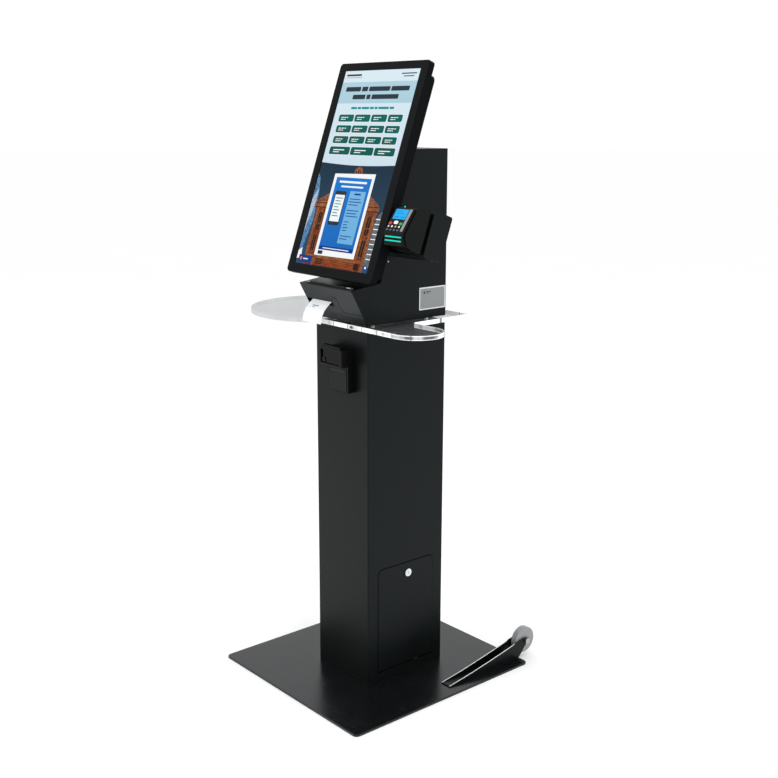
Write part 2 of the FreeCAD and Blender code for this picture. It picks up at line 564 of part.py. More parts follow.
# receipt: flat out of the slot, then bending down to the front edge of the shelf
rc = [(to_face(24.0, 60.1)), (to_face(2.0, 60.1)), (-164.5, 1058.2), (-176.5, 1046.6), (-184.6, 1032.0), (-188.6, 1012.5)]
th = 0.35
outer = []
innerl = []
for i, (y, z) in enumerate(rc):
    a = rc[max(i - 1, 0)]
    b = rc[min(i + 1, len(rc) - 1)]
    tx, tz = b[0] - a[0], b[1] - a[1]
    ln = math.hypot(tx, tz)
    nx, nz = -tz / ln * th / 2, tx / ln * th / 2
    outer.append((y + nx, z + nz))
    innerl.append((y - nx, z - nz))
paper = side_solid("receipt_strip", -82.5, S["paper_width"], outer + innerl[::-1], expr="Sizes.paper_width")
keep(paper, "receipt_strip")

# ------------------------------------------------------------ electronics
pcb = box("pc_case", 170.0, 42.0, 160.0, -95.0, 58.0, 1262.0)
vent = [box("pc_vent_%d" % i, 100.0, 3.0, 3.0, -60.0, 98.0, 1290.0 + 14 * i) for i in range(8)]
keep(cut("mini_pc_cut", pcb, *vent), "mini_pc")
psu = box("psu_case", 42.0, 130.0, 150.0, -cw / 2 + wl, -50.0, 120.0)
keep(cut("psu_cut", psu, *[box("psu_vent_%d" % i, 3.0, 90.0, 4.0, -cw / 2 + wl + 40.0, -30.0, 145.0 + 12 * i) for i in range(8)]), "power_supply")
grommet = doc.addObject("PartDesign::Body", "cable_grommet")
sk = new_sketch(grommet, "XY_Plane", "grommet_section")
outline(sk, [(11.0, -4.5), (19.5, -4.5), (19.5, -2.0), (16.0, -2.0), (16.0, 0.0), (20.0, 0.0), (19.0, 3.5), (11.0, 3.5)])
rv = grommet.newObject("PartDesign::Revolution", "grommet_turn")
rv.Profile = sk
rv.ReferenceAxis = (sk, ["V_Axis"])
rv.Angle = 360.0
doc.recompute()
keep(grommet, "cable_grommet", P(V(0, hback, 90.0), R()))

# ------------------------------------------------------------ monitor
mw, ml, mh = S["monitor_width"] / 2, S["monitor_low"], S["monitor_high"]
bez = doc.addObject("PartDesign::Body", "monitor_bezel")
sk = new_sketch(bez, "XZ_Plane", "bezel_outline")
outline(sk, [(-mw, ml), (mw, ml), (mw, mh), (-mw, mh)], {i: S["monitor_corner"] for i in range(4)})
pad(bez, sk, "bezel_pad", S["bezel_depth"], "Sizes.bezel_depth", reverse=True)
doc.recompute()
soft_edges(bez, "bezel_front_edge", "Fillet", 2.2, lambda e: all(abs(v.Point.y) < 1e-6 for v in e.Vertexes))
sk = new_sketch(bez, "XZ_Plane", "bezel_window")
outline(sk, [(-151.0, -1.5), (151.0, -1.5), (151.0, 533.0), (-151.0, 533.0)])
doc.recompute()
pocket(bez, sk, "bezel_window_cut", 40, reverse=True)
sk = new_sketch(bez, "XZ_Plane", "bezel_inside", -3.4)
outline(sk, [(-mw + 2.6, ml + 2.6), (mw - 2.6, ml + 2.6), (mw - 2.6, mh - 2.6), (-mw + 2.6, mh - 2.6)],
        {i: S["monitor_corner"] - 2.6 for i in range(4)})
doc.recompute()
pocket(bez, sk, "bezel_hollow", 40)
keep(bez, "monitor_bezel", MONITOR)

glass = box("glass_plate", 301.6, 2.2, 533.9, exprs={"Length": "Sizes.screen_width + 2.6", "Height": "Sizes.screen_height + 2.4"})
keep(glass, "touch_glass", MONITOR.multiply(P(V(-150.8, 1.2, -1.2), R())))
lcd = box("lcd_case", 322.0, 9.6, 554.0)
keep(lcd, "lcd_panel", MONITOR.multiply(P(V(-161.0, 3.6, -11.0), R())))

rear = doc.addObject("PartDesign::Body", "monitor_rear_housing")
sk = new_sketch(rear, "XZ_Plane", "rear_plate_outline", -14.6)
outline(sk, [(-mw + 2.9, ml + 2.9), (mw - 2.9, ml + 2.9), (mw - 2.9, mh - 2.9), (-mw + 2.9, mh - 2.9)],
        {i: S["monitor_corner"] - 2.9 for i in range(4)})
pad(rear, sk, "rear_plate_pad", 2.4, reverse=True)
doc.recompute()
sk = new_sketch(rear, "XZ_Plane", "rear_box_outline", -17.0)
outline(sk, [(-160.0, -8.0), (160.0, -8.0), (160.0, 528.0), (-160.0, 528.0)], {i: 14.0 for i in range(4)})
pad(rear, sk, "rear_box_pad", 36.0, reverse=True)
doc.recompute()
soft_edges(rear, "rear_box_edge", "Chamfer", 7.0, lambda e: all(abs(v.Point.y - 53.0) < 1e-6 for v in e.Vertexes))
sk = new_sketch(rear, "XZ_Plane", "rear_inside", -14.6)
outline(sk, [(-156.5, -4.5), (156.5, -4.5), (156.5, 524.5), (-156.5, 524.5)], {i: 10.5 for i in range(4)})
doc.recompute()
pocket(rear, sk, "rear_hollow", 31.9, reverse=True)
slots = []
for k in range(12):
    slots.append(box("rear_slot_%d" % k, 3.0, 12.0, 70.0, -33.0 + 6.0 * k, 45.0, 390.0))
keep(cut("rear_housing_cut", rear, *slots), "monitor_rear_housing", MONITOR)

web = [box("vesa_front", 150.0, 3.0, 140.0, -75.0, 53.0, 193.0), box("vesa_back", 150.0, 3.0, 140.0, -75.0, 87.0, 193.0),
       box("vesa_left", 3.0, 37.0, 140.0, -75.0, 53.0, 193.0), box("vesa_right", 3.0, 37.0, 140.0, 72.0, 53.0, 193.0)]
vh = [cyl("vesa_hole_%d" % i, 2.2, 12.0, (sx * 50.0, 50.0, 263.0 + sz * 50.0), (0, 1, 0)) for i, (sx, sz) in
      enumerate(((-1, -1), (1, -1), (1, 1), (-1, 1)))]
keep(cut("vesa_cut", fuse("vesa_box", *web), cyl("vesa_cable", 22.0, 60.0, (0, 48.0, 263.0), (0, 1, 0)), *vh), "screen_bracket", MONITOR)

# ------------------------------------------------------------ rating plate
lab = doc.addObject("PartDesign::Body", "rating_plate")
sk = new_sketch(lab, "YZ_Plane", "label_outline", cw / 2)
outline(sk, [(55.0, 1038.0), (150.0, 1038.0), (150.0, 1099.0), (55.0, 1099.0)], {i: 2.0 for i in range(4)})
pad(lab, sk, "label_pad", 1.0, "Sizes.plate_thick")
doc.recompute()
keep(lab, "rating_plate")

# ------------------------------------------------------------ access door
dl, dr, dlo, dhi = S["door_left"], S["door_right"], S["door_low"], S["door_high"]
door = doc.addObject("PartDesign::Body", "access_door_skin")
sk = new_sketch(door, "YZ_Plane", "door_outline", cw / 2 - wl)
outline(sk, [(dl, dlo), (dr, dlo), (dr, dhi), (dl, dhi)], {2: S["door_corner"], 3: S["door_corner"]})
pad(door, sk, "door_pad", wl, "Sizes.wall")
doc.recompute()
px, pz = cw / 2 - 4.2, 34.0
extra = [box("door_flange_a", 10.0, 1.6, 250.0, cw / 2 - wl - 10.0, dl + 6.0, 50.0),
         box("door_flange_b", 10.0, 1.6, 250.0, cw / 2 - wl - 10.0, dr - 7.6, 50.0),
         cyl("door_knuckle_a", 3.8, 40.0, (px, dl + 6.0, pz), (0, 1, 0)),
         cyl("door_knuckle_b", 3.8, 40.0, (px, dr - 46.0, pz), (0, 1, 0))]
keep(cut("door_cut", fuse("door_all", door, *extra), cyl("door_pin_bore", 2.35, 240.0, (px, dl - 10, pz), (0, 1, 0)),
         cyl("door_lock_hole", 9.6, 20.0, (cw / 2 - 10, S["lock_y"], S["lock_z"]), (1, 0, 0))), "access_door")
keep(cyl("door_pin_rod", 2.0, dr - dl + 14.6, (px, dl - 7.6, pz), (0, 1, 0)), "access_door_hinge_pin")
LK = (S["lock_y"], S["lock_z"])
keep(cut("lock_case",
         fuse("lock_blank", cyl("lock_flange", 11.0, 3.2, (cw / 2, *LK), (1, 0, 0)),
              cyl("lock_barrel", 9.4, 12.0, (cw / 2 - 12.0, *LK), (1, 0, 0))),
         cyl("lock_bore", 6.35, 40.0, (cw / 2 - 20, *LK), (1, 0, 0))), "access_lock_body")
keep(cut("lock_plug_cut",
         fuse("lock_plug_blank", cyl("lock_plug_rod", 6.0, 16.2, (cw / 2 - 12.6, *LK), (1, 0, 0)),
              cyl("lock_plug_tail", 3.0, 3.0, (cw / 2 - 15.6, *LK), (1, 0, 0))),
         box("lock_keyway", 6.0, 1.4, 8.0, cw / 2 - 0.6, LK[0] - 0.7, LK[1] - 4.0)), "access_lock_plug")
keep(cut("lock_cam_cut", box("lock_cam_bar", 2.4, 44.0, 14.0, cw / 2 - 15.2, LK[0] - 7.0, LK[1] - 7.0),
         cyl("lock_cam_hole", 3.0, 10.0, (cw / 2 - 18.0, *LK), (1, 0, 0))), "access_lock_cam")

# ------------------------------------------------------------ PIN pad mount
be = S["bracket_end"]
sq = [(61.0, 72.0), (124.0, 72.0), (124.0, 189.0), (61.0, 189.0)]
pb = doc.addObject("PartDesign::Body", "pinpad_bracket")
sk = new_sketch(pb, "YZ_Plane", "mount_outline", cw / 2)
outline(sk, sq, {0: 3.0, 1: 3.0, 2: 6.0, 3: 3.0})
pad(pb, sk, "mount_pad", be - cw / 2, "Sizes.bracket_end - Sizes.column_width / 2")
doc.recompute()
sk = new_sketch(pb, "YZ_Plane", "mount_inside", cw / 2)
outline(sk, [(63.0, 74.0), (122.0, 74.0), (122.0, 187.0), (63.0, 187.0)], {i: 1.0 for i in range(4)})
doc.recompute()
pocket(pb, sk, "mount_hollow", be - cw / 2 - 2.0, reverse=True)
ww = box("mount_front_hole", 30.0, 10.0, 40.0, 221.0, 58.0, 110.0)
keep(cut("mount_cut", pb, ww), "pinpad_bracket", MONITOR)

hs = side_solid("pinpad_housing_body", 202.5, 67.0,
                [(50.5, 73.5), (50.5, 184.0), (4.6, 176.0), (4.2, 172.0), (-12.0, 106.0), (-9.0, 95.0), (-3.5, 86.0), (6.0, 79.0), (21.0, 74.6)],
                {0: 2.0, 1: 3.0})
neck = box("pinpad_neck", 51.0, 10.5, 98.0, 209.0, 50.5, 79.5)
keep(fuse("pinpad_housing_all", hs, neck), "pinpad_housing", MONITOR)

# terminal: sloping face, lit chin; its own frame has y into the face, z up it
FB = (-21.0, 108.6)
FT = (-4.2, 172.0)
FA = math.degrees(math.atan2(FT[0] - FB[0], FT[1] - FB[1]))
TERM = MONITOR.multiply(P(V(0, FB[0], FB[1]), R(V(1, 0, 0), -FA)))
CC = (-12.7, 76.0)
CA = math.degrees(math.atan2(CC[0] - FB[0], FB[1] - CC[1]))
CHIN = MONITOR.multiply(P(V(0, CC[0], CC[1]), R(V(1, 0, 0), CA)))
term = side_solid("pinpad_terminal_body", 201.5, 65.5,
                  [(-4.2, 172.3), (-21.0, 108.6), (-12.7, 76.0), (2.0, 77.5), (-4.1, 85.6), (-9.4, 94.8), (-12.4, 106.0), (4.0, 172.6)],
                  {0: 1.5, 1: 3.0, 2: 2.0})
term.Placement = MONITOR
tools = []


def face_box(name, x0, x1, v0, v1, n0, n1, frame):
    b = box(name, x1 - x0, n1 - n0, v1 - v0)
    b.Placement = frame.multiply(P(V(x0, n0, v0), R()))
    return b


KEYS = []
for i, x in enumerate((209.2, 222.0, 234.8, 247.6)):
    KEYS.append(("key_upper_%d" % (i + 1), x, 13.2, 10.2, 6.0))
    KEYS.append(("key_lower_%d" % (i + 1), x, 3.9, 10.2, 6.0))
KEYS += [("key_cancel", 209.4, 22.6, 9.4, 6.6), ("key_enter", 247.4, 22.6, 9.4, 6.6), ("key_navigate", 228.4, 25.4, 14.0, 9.0)]
for name, x, v, w, h in KEYS:
    tools.append(face_box(name + "_well", x - w / 2 - 0.4, x + w / 2 + 0.4, v - h / 2 - 0.4, v + h / 2 + 0.4, -3.0, 4.2, TERM))
tools.append(face_box("display_well", 204.9, 253.6, 34.2, 64.6, -3.0, 2.2, TERM))
tools.append(face_box("card_slit", 206.0, 262.0, 14.8, 16.2, -3.0, 8.0, CHIN))
tools.append(face_box("light_well_a", 204.5, 264.0, 9.8, 13.4, -3.0, 1.4, CHIN))
tools.append(face_box("light_well_b", 204.5, 264.0, 19.4, 23.0, -3.0, 1.4, CHIN))
keep(cut("pinpad_terminal_cut", term, *tools), "pinpad_terminal")
keep(face_box("pinpad_display_glass", 205.1, 253.4, 34.4, 64.4, 0.6, 2.2, TERM), "pinpad_display")
keep(group("pinpad_lights", face_box("light_low", 204.8, 263.7, 10.0, 13.2, -0.2, 1.4, CHIN),
           face_box("light_high", 204.8, 263.7, 19.6, 22.8, -0.2, 1.4, CHIN)), "pinpad_card_lights")
for name, x, v, w, h in KEYS:
    blk = doc.addObject("PartDesign::Body", name + "_cap")
    sk = new_sketch(blk, "XZ_Plane", name + "_outline")
    outline(sk, [(x - w / 2, v - h / 2), (x + w / 2, v - h / 2), (x + w / 2, v + h / 2), (x - w / 2, v + h / 2)],
            {k: min(h, w) * (0.42 if name == "key_navigate" else 0.22) for k in range(4)})
    pad(blk, sk, name + "_pad", 4.2, reverse=True)
    doc.recompute()
    soft_edges(blk, name + "_crown", "Chamfer", 0.4, lambda e: all(abs(q.Point.y) < 1e-6 for q in e.Vertexes))
    keep(blk, name, TERM.multiply(P(V(0, -1.6, 0), R())))

# ------------------------------------------------------------ barcode scanner
cradle = extruded("scanner_cradle", "XZ_Plane", 0, [(-33.0, 828.0), (53.5, 828.0), (53.5, 948.0), (-33.0, 948.0)], 21.0,
                  {0: 2.0, 1: 5.0, 2: 3.0, 3: 3.0})
keep(cradle, "scanner_cradle", P(V(0, cf, 0), R()))
shead = doc.addObject("PartDesign::Body", "scanner_head_case")
sk = new_sketch(shead, "XZ_Plane", "scanner_outline")
outline(sk, [(-41.0, 900.0), (52.0, 900.0), (52.0, 947.0), (-41.0, 947.0)], {0: 2.0, 1: 2.0, 2: 3.0, 3: 3.0})
pad(shead, sk, "scanner_pad", 21.0)
doc.recompute()
soft_edges(shead, "scanner_front_edge", "Fillet", 1.6, lambda e: all(abs(v.Point.y + 21.0) < 1e-6 for v in e.Vertexes))
sk = new_sketch(shead, "XZ_Plane", "scanner_recess", 21.0)
outline(sk, [(-37.0, 904.0), (43.0, 904.0), (43.0, 941.0), (-37.0, 941.0)], {i: 2.0 for i in range(4)})
doc.recompute()
pocket(shead, sk, "scanner_recess_cut", 6.0)
crown = side_solid("scanner_crown", -36.0, 76.0, [(0.0, 930.0), (0.0, 951.5), (-6.0, 954.0), (-14.0, 952.0), (-19.0, 946.0), (-12.0, 930.0)],
                   {1: 2.0, 2: 5.0, 3: 5.0})
crown.Placement = P(V(0, 0, 0), R())
recess_tool = box("scanner_recess_tool", 80.0, 8.0, 37.0, -37.0, -23.0, 904.0)
keep(cut("scanner_head_cut", fuse("scanner_head_all", shead, crown), recess_tool), "scanner_head", P(V(0, cf - 21.0, 0), R()))
keep(group("scanner_window_parts", box("scanner_glass", 79.0, 1.5, 36.0, -36.5, cf - 21.0 - 16.5, 904.5),
           box("scanner_lens", 14.0, 2.0, 12.0, -34.0, cf - 21.0 - 18.5, 906.5)), "scanner_window")

# ------------------------------------------------------------ wheel carriers
wx, wy, wz, wr = S["wheel_x"], S["wheel_y"], S["wheel_z"], S["wheel_radius"]
wall_pts = [(40.0, 6.0), (40.0, 9.0), (118.0, 20.0), (197.0, 34.0), (279.0, 50.0), (313.0, 58.5), (340.0, 63.0), (358.5, 60.0),
            (358.5, 46.0), (345.0, 41.0), (330.0, 22.0), (318.0, 10.0), (316.0, 6.0)]
for side, sgn in (("right", 1), ("left", -1)):
    x_in, x_out = wx - 16.5, wx + 16.5
    a0 = x_in if sgn > 0 else -x_in - 2.5
    b0 = x_out - 2.5 if sgn > 0 else -x_out
    f0 = x_in if sgn > 0 else -x_out
    w1 = side_solid("carrier_%s_inner" % side, a0, 2.5, wall_pts, {5: 30.0, 6: 12.0, 7: 8.0, 8: 8.0, 9: 10.0})
    w2 = side_solid("carrier_%s_outer" % side, b0, 2.5, wall_pts, {5: 30.0, 6: 12.0, 7: 8.0, 8: 8.0, 9: 10.0})
    floor_pts = [(40.0, 6.0), (40.0, 9.0), (56.0, 8.5), (316.0, 8.5), (316.0, 6.0)]
    fl = side_solid("carrier_%s_floor" % side, f0, 33.0, floor_pts)
    keep(cut("carrier_%s_cut" % side, fuse("carrier_%s" % side, w1, w2, fl),
             cyl("carrier_%s_hole" % side, 5.0, 60.0, (sgn * wx - 30.0, wy, wz), (1, 0, 0), "Sizes.axle_radius")),
         "wheel_carrier_" + side)
    wheel = revolved("wheel_%s_body" % side, [(-11.0, 5.35), (11.0, 5.35), (11.0, wr - 3.0), (8.5, wr), (-8.5, wr), (-11.0, wr - 3.0)])
    keep(wheel, "wheel_" + side, P(V(sgn * wx, wy, wz), R()))
    axle = [cyl("axle_%s_rod" % side, 5.0, 41.0, (sgn * wx - 20.5, wy, wz), (1, 0, 0), "Sizes.axle_radius"),
            prism("axle_%s_head" % side, 6, 17.0, 6.0, (sgn * wx - 22.5, wy, wz), (1, 0, 0)),
            prism("axle_%s_nut" % side, 6, 17.0, 6.0, (sgn * wx + 16.5, wy, wz), (1, 0, 0))]
    keep(fuse("axle_%s_all" % side, *axle), "wheel_axle_" + side)

# ------------------------------------------------------------ check and write
doc.recompute()
bad = [o.Name for o in doc.Objects if any(st in ("Invalid", "Error") for st in o.State)]
if bad:
    raise SystemExit("objects failed: " + ", ".join(bad))
labels = [o.Label for o in NODES]
if len(set(labels)) != len(labels):
    raise SystemExit("two nodes share a name: " + ", ".join(sorted(l for l in labels if labels.count(l) > 1)))
for o in NODES:
    if o.Shape.isNull() or not o.Shape.isValid() or not o.Shape.Solids:
        raise SystemExit("bad shape: " + o.Label)
os.makedirs("parts", exist_ok=True)
for old in os.listdir("parts"):
    if old.endswith(".step"):
        os.remove(os.path.join("parts", old))
for o in NODES:
    o.Shape.exportStep(os.path.join("parts", o.Label + ".step"))
    print("%-26s solids %d  volume %.0f" % (o.Label, len(o.Shape.Solids), o.Shape.Volume))
print(len(NODES), "nodes")
print("cover hinge y %.3f z %.3f" % (hinge_y, hinge_z))
print("platen y %.3f z %.3f  roll y %.3f z %.3f" % (PLY, PLZ, SPY, SPZ))
kd = TERM.Rotation.multVec(V(0, 1, 0))
print("key travel direction %.5f %.5f %.5f" % (kd.x, kd.y, kd.z))
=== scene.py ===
import json
import math

import bpy
import bmesh
from mathutils import Matrix, Vector


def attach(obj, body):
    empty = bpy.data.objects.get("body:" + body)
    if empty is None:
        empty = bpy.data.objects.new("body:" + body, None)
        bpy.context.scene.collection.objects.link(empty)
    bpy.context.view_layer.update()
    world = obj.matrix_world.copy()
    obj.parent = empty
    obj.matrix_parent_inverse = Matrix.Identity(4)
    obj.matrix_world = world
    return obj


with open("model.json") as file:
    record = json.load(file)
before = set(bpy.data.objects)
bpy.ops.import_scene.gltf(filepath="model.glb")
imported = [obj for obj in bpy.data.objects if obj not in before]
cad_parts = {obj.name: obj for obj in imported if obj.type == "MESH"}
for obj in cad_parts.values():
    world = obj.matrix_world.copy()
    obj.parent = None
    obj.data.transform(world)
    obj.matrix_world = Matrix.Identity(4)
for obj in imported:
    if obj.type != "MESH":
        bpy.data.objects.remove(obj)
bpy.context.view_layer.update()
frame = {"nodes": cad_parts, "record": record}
NODES = frame["nodes"]
ROOT = "stand"
MM = 0.001


# ------------------------------------------------------------ node materials
def lin(h):
    v = [int(h[i:i + 2], 16) / 255 for i in (1, 3, 5)]
    return tuple(c / 12.92 if c <= 0.04045 else ((c + 0.055) / 1.055) ** 2.4 for c in v)


def scaled(c, k):
    return (min(c[0] * k, 1.0), min(c[1] * k, 1.0), min(c[2] * k, 1.0), 1.0)


class Net:
    """Small helper around one material's node tree."""

    def __init__(self, name):
        self.mat = bpy.data.materials.new(name)
        self.mat.use_nodes = True
        self.t = self.mat.node_tree
        self.t.nodes.clear()
        self.out = self.t.nodes.new("ShaderNodeOutputMaterial")
        self.co = self.t.nodes.new("ShaderNodeTexCoord")

    def node(self, kind, **sets):
        n = self.t.nodes.new(kind)
        for k, v in sets.items():
            setattr(n, k, v)
        return n

    def link(self, a, b):
        self.t.links.new(a, b)

    def place(self, scale=(1, 1, 1), loc=(0, 0, 0), rot=(0, 0, 0), src=None):
        m = self.node("ShaderNodeMapping")
        m.inputs["Scale"].default_value = scale
        m.inputs["Location"].default_value = loc
        m.inputs["Rotation"].default_value = rot
        self.link(src or self.co.outputs["Object"], m.inputs["Vector"])
        return m.outputs["Vector"]

    def noise(self, vec, scale, detail=3.0, rough=0.5):
        n = self.node("ShaderNodeTexNoise")
        n.inputs["Scale"].default_value = scale
        n.inputs["Detail"].default_value = detail
        n.inputs["Roughness"].default_value = rough
        self.link(vec, n.inputs["Vector"])
        return n.outputs["Fac"]

    def math(self, op, a, b=None, clamp=False):
        n = self.node("ShaderNodeMath", operation=op, use_clamp=clamp)
        for i, v in enumerate((a, b)):
            if v is None:
                continue
            if isinstance(v, (int, float)):
                n.inputs[i].default_value = v
            else:
                self.link(v, n.inputs[i])
        return n.outputs[0]

    def ranged(self, v, a, b, c, d):
        n = self.node("ShaderNodeMapRange")
        for i, x in enumerate((a, b, c, d)):
            n.inputs[i + 1].default_value = x
        self.link(v, n.inputs[0])
        return n.outputs[0]

    def mix(self, fac, a, b):
        n = self.node("ShaderNodeMix", data_type="RGBA")
        for i, v in ((0, fac), (6, a), (7, b)):
            if isinstance(v, (int, float, tuple)):
                n.inputs[i].default_value = v
            else:
                self.link(v, n.inputs[i])
        return n.outputs[2]

    def split(self, vec):
        n = self.node("ShaderNodeSeparateXYZ")
        self.link(vec, n.inputs[0])
        return n.outputs

    def bump(self, height, strength, distance):
        n = self.node("ShaderNodeBump")
        n.inputs["Strength"].default_value = strength
        n.inputs["Distance"].default_value = distance
        self.link(height, n.inputs["Height"])
        return n.outputs["Normal"]

    def surface(self, **values):
        p = self.node("ShaderNodeBsdfPrincipled")
        for k, v in values.items():
            k = k.replace("_", " ")
            if isinstance(v, (int, float, tuple)):
                p.inputs[k].default_value = v
            else:
                self.link(v, p.inputs[k])
        self.link(p.outputs[0], self.out.inputs["Surface"])
        return p


def finish_material(name, colour, rough, metal=0.0, var=0.18, grain=1500.0, bump=0.1, height=0.00012, patch=7.0,
                    rvar=0.08, coat=0.0, spec=0.5, stretch=(1, 1, 1), glow=0.0, dust=0.0, tint=(1.0, 1.0, 1.0, 1.0)):
    """Coated or moulded surface: cloudy tone, fine grain bump, uneven gloss."""
    n = Net(name)
    c = lin(colour)
    here = n.place()
    fine = n.place(scale=stretch)
    cloud = n.noise(here, patch, 4.0, 0.55)
    grit = n.noise(fine, grain, 2.0, 0.6)
    tone = n.math("ADD", n.math("MULTIPLY", cloud, 0.7), n.math("MULTIPLY", grit, 0.3))
    tone = n.ranged(tone, 0.3, 0.7, 0.0, 1.0)
    base = n.mix(tone, scaled(c, 1 - var), scaled(c, 1 + var))
    if dust:
        z = n.split(here)[2]
        low = n.math("MULTIPLY", n.ranged(z, 0.0, 0.18, dust, 0.0), n.noise(here, 22.0, 5.0, 0.7))
        base = n.mix(low, base, (0.35, 0.34, 0.33, 1.0))
    gloss = n.math("ADD", n.ranged(cloud, 0.3, 0.7, rough - rvar, rough + rvar), n.math("MULTIPLY", grit, rvar * 0.5))
    values = dict(Base_Color=base, Roughness=gloss, Metallic=metal, Specular_IOR_Level=spec,
                  Normal=n.bump(grit, bump, height), Coat_Weight=coat, Coat_Roughness=0.12,
                  Specular_Tint=tint)
    if glow:
        values["Base_Color"] = n.mix(tone, scaled(c, 0.12), scaled(c, 0.16))
        values["Emission_Color"] = base
        values["Emission_Strength"] = glow
    n.surface(**values)
    return n.mat


M = {}


def add(name, *a, **k):
    M[name] = finish_material(name, *a, **k)


add("base_black", "#0a0b0c", 0.24, bump=0.06, patch=9.0, rvar=0.04, spec=0.42, tint=(0.86, 0.97, 1.0, 1.0))
add("shell_black", "#080b0b", 0.36, bump=0.12, patch=5.0, rvar=0.04, spec=0.15, tint=(0.86, 0.97, 1.0, 1.0))
# painted light: a lighter copy of shell_black, used on the prow lower panel and the printer cover
add("shell_black_lit", "#151818", 0.40, bump=0.12, patch=8.0, rvar=0.04, spec=0.26, tint=(0.86, 0.97, 1.0, 1.0))
add("zinc_steel", "#a9adb0", 0.30, metal=1.0, grain=700.0, stretch=(1, 1, 4), bump=0.10, rvar=0.1)
add("bare_steel", "#8d9194", 0.38, metal=1.0, grain=500.0, stretch=(1, 6, 1), bump=0.08, rvar=0.1)
add("bare_aluminium", "#a7abad", 0.35, metal=1.0, grain=600.0, stretch=(8, 1, 1), bump=0.08, rvar=0.1)
add("lock_chrome", "#dfe2e3", 0.10, metal=1.0, grain=300.0, bump=0.02, rvar=0.03, var=0.04)
add("receipt_paper", "#eef1f4", 0.78, var=0.03, grain=900.0, bump=0.12, rvar=0.04, spec=0.25)
add("platen_rubber", "#1c1c1d", 0.72, grain=1200.0, bump=0.2, spec=0.3)
add("grommet_rubber", "#161617", 0.78, grain=900.0, bump=0.25, spec=0.3)
add("case_grey", "#4b4f52", 0.55, grain=1100.0, bump=0.3)
add("bezel_plastic", "#07090a", 0.40, grain=1900.0, bump=0.14, spec=0.05, patch=4.0, tint=(0.86, 0.97, 1.0, 1.0))
add("rim_black", "#050607", 0.20, grain=900.0, bump=0.01, rvar=0.03, spec=0.15)
add("screen_glass", "#07090b", 0.07, grain=200.0, bump=0.01, rvar=0.02, coat=0.6)
add("label_plate", "#868a8c", 0.45, metal=0.15, grain=420.0, stretch=(1, 1, 14), bump=0.06, var=0.07)
add("label_border", "#dfe2e3", 0.35, metal=0.1, grain=420.0, bump=0.05, var=0.05)
add("label_mark", "#2b2e30", 0.5, grain=900.0, bump=0.05)
add("pad_housing", "#080a0b", 0.38, grain=1600.0, bump=0.16, spec=0.12)
add("pad_black", "#050606", 0.28, grain=1200.0, bump=0.05, spec=0.12)
add("pad_silver", "#8d9193", 0.30, metal=0.85, grain=500.0, stretch=(1, 1, 10), bump=0.05)
add("pad_display", "#0fa9ee", 0.2, grain=500.0, bump=0.01, glow=0.95, var=0.06, spec=0.15)
add("pad_display_dark", "#0b86c0", 0.25, grain=500.0, bump=0.01, glow=0.8, spec=0.15)
add("pad_light", "#0fdcc4", 0.24, grain=500.0, bump=0.02, glow=0.95, var=0.10, spec=0.15)
add("led_green", "#10e0a0", 0.2, grain=600.0, bump=0.02, glow=1.3, spec=0.1)
add("scanner_plastic", "#070808", 0.38, grain=1500.0, bump=0.15, spec=0.12)
add("scanner_panel", "#0f1113", 0.46, grain=1500.0, bump=0.2, spec=0.16)
add("key_dark", "#0d0e10", 0.34, grain=1200.0, bump=0.06, spec=0.3)
add("key_blue", "#4a8fd0", 0.35, grain=1200.0, bump=0.06, var=0.06)
add("scanner_glass", "#050607", 0.12, grain=400.0, bump=0.01, rvar=0.02, spec=0.12)
add("key_pale", "#c9d2e2", 0.35, grain=1200.0, bump=0.06, var=0.05)
add("key_orange", "#e2a15a", 0.35, grain=1200.0, bump=0.06, var=0.06)
add("key_red", "#e0201c", 0.35, grain=1200.0, bump=0.06, var=0.08, glow=0.7)
add("key_green", "#20b060", 0.35, grain=1200.0, bump=0.06, var=0.08, glow=0.7)
add("key_white", "#eef0f2", 0.3, grain=1200.0, bump=0.06, var=0.03)
add("port_dark", "#0b0c0d", 0.6, grain=900.0, bump=0.1)
add("wheel_hub", "#8b9092", 0.35, grain=700.0, bump=0.1)
# painted highlight: near-white colour for glints on steel edges and a screw head
add("painted_glint_white", "#eef0f1", 0.3, grain=900.0, bump=0.03, var=0.03)


def wheel_material():
    """Pale cloudy moulded plastic that lets some light through."""
    n = Net("wheel_plastic")
    here = n.place()
    cloud = n.noise(here, 60.0, 4.0, 0.55)
    grit = n.noise(here, 1500.0, 2.0, 0.6)
    base = n.mix(cloud, (0.24, 0.25, 0.255, 1.0), (0.34, 0.35, 0.355, 1.0))
    n.surface(Base_Color=base, Roughness=n.ranged(grit, 0.3, 0.7, 0.22, 0.34), Transmission_Weight=0.1,
              Subsurface_Weight=0.1, Subsurface_Scale=0.004, Normal=n.bump(grit, 0.08, 0.0001))
    return n.mat


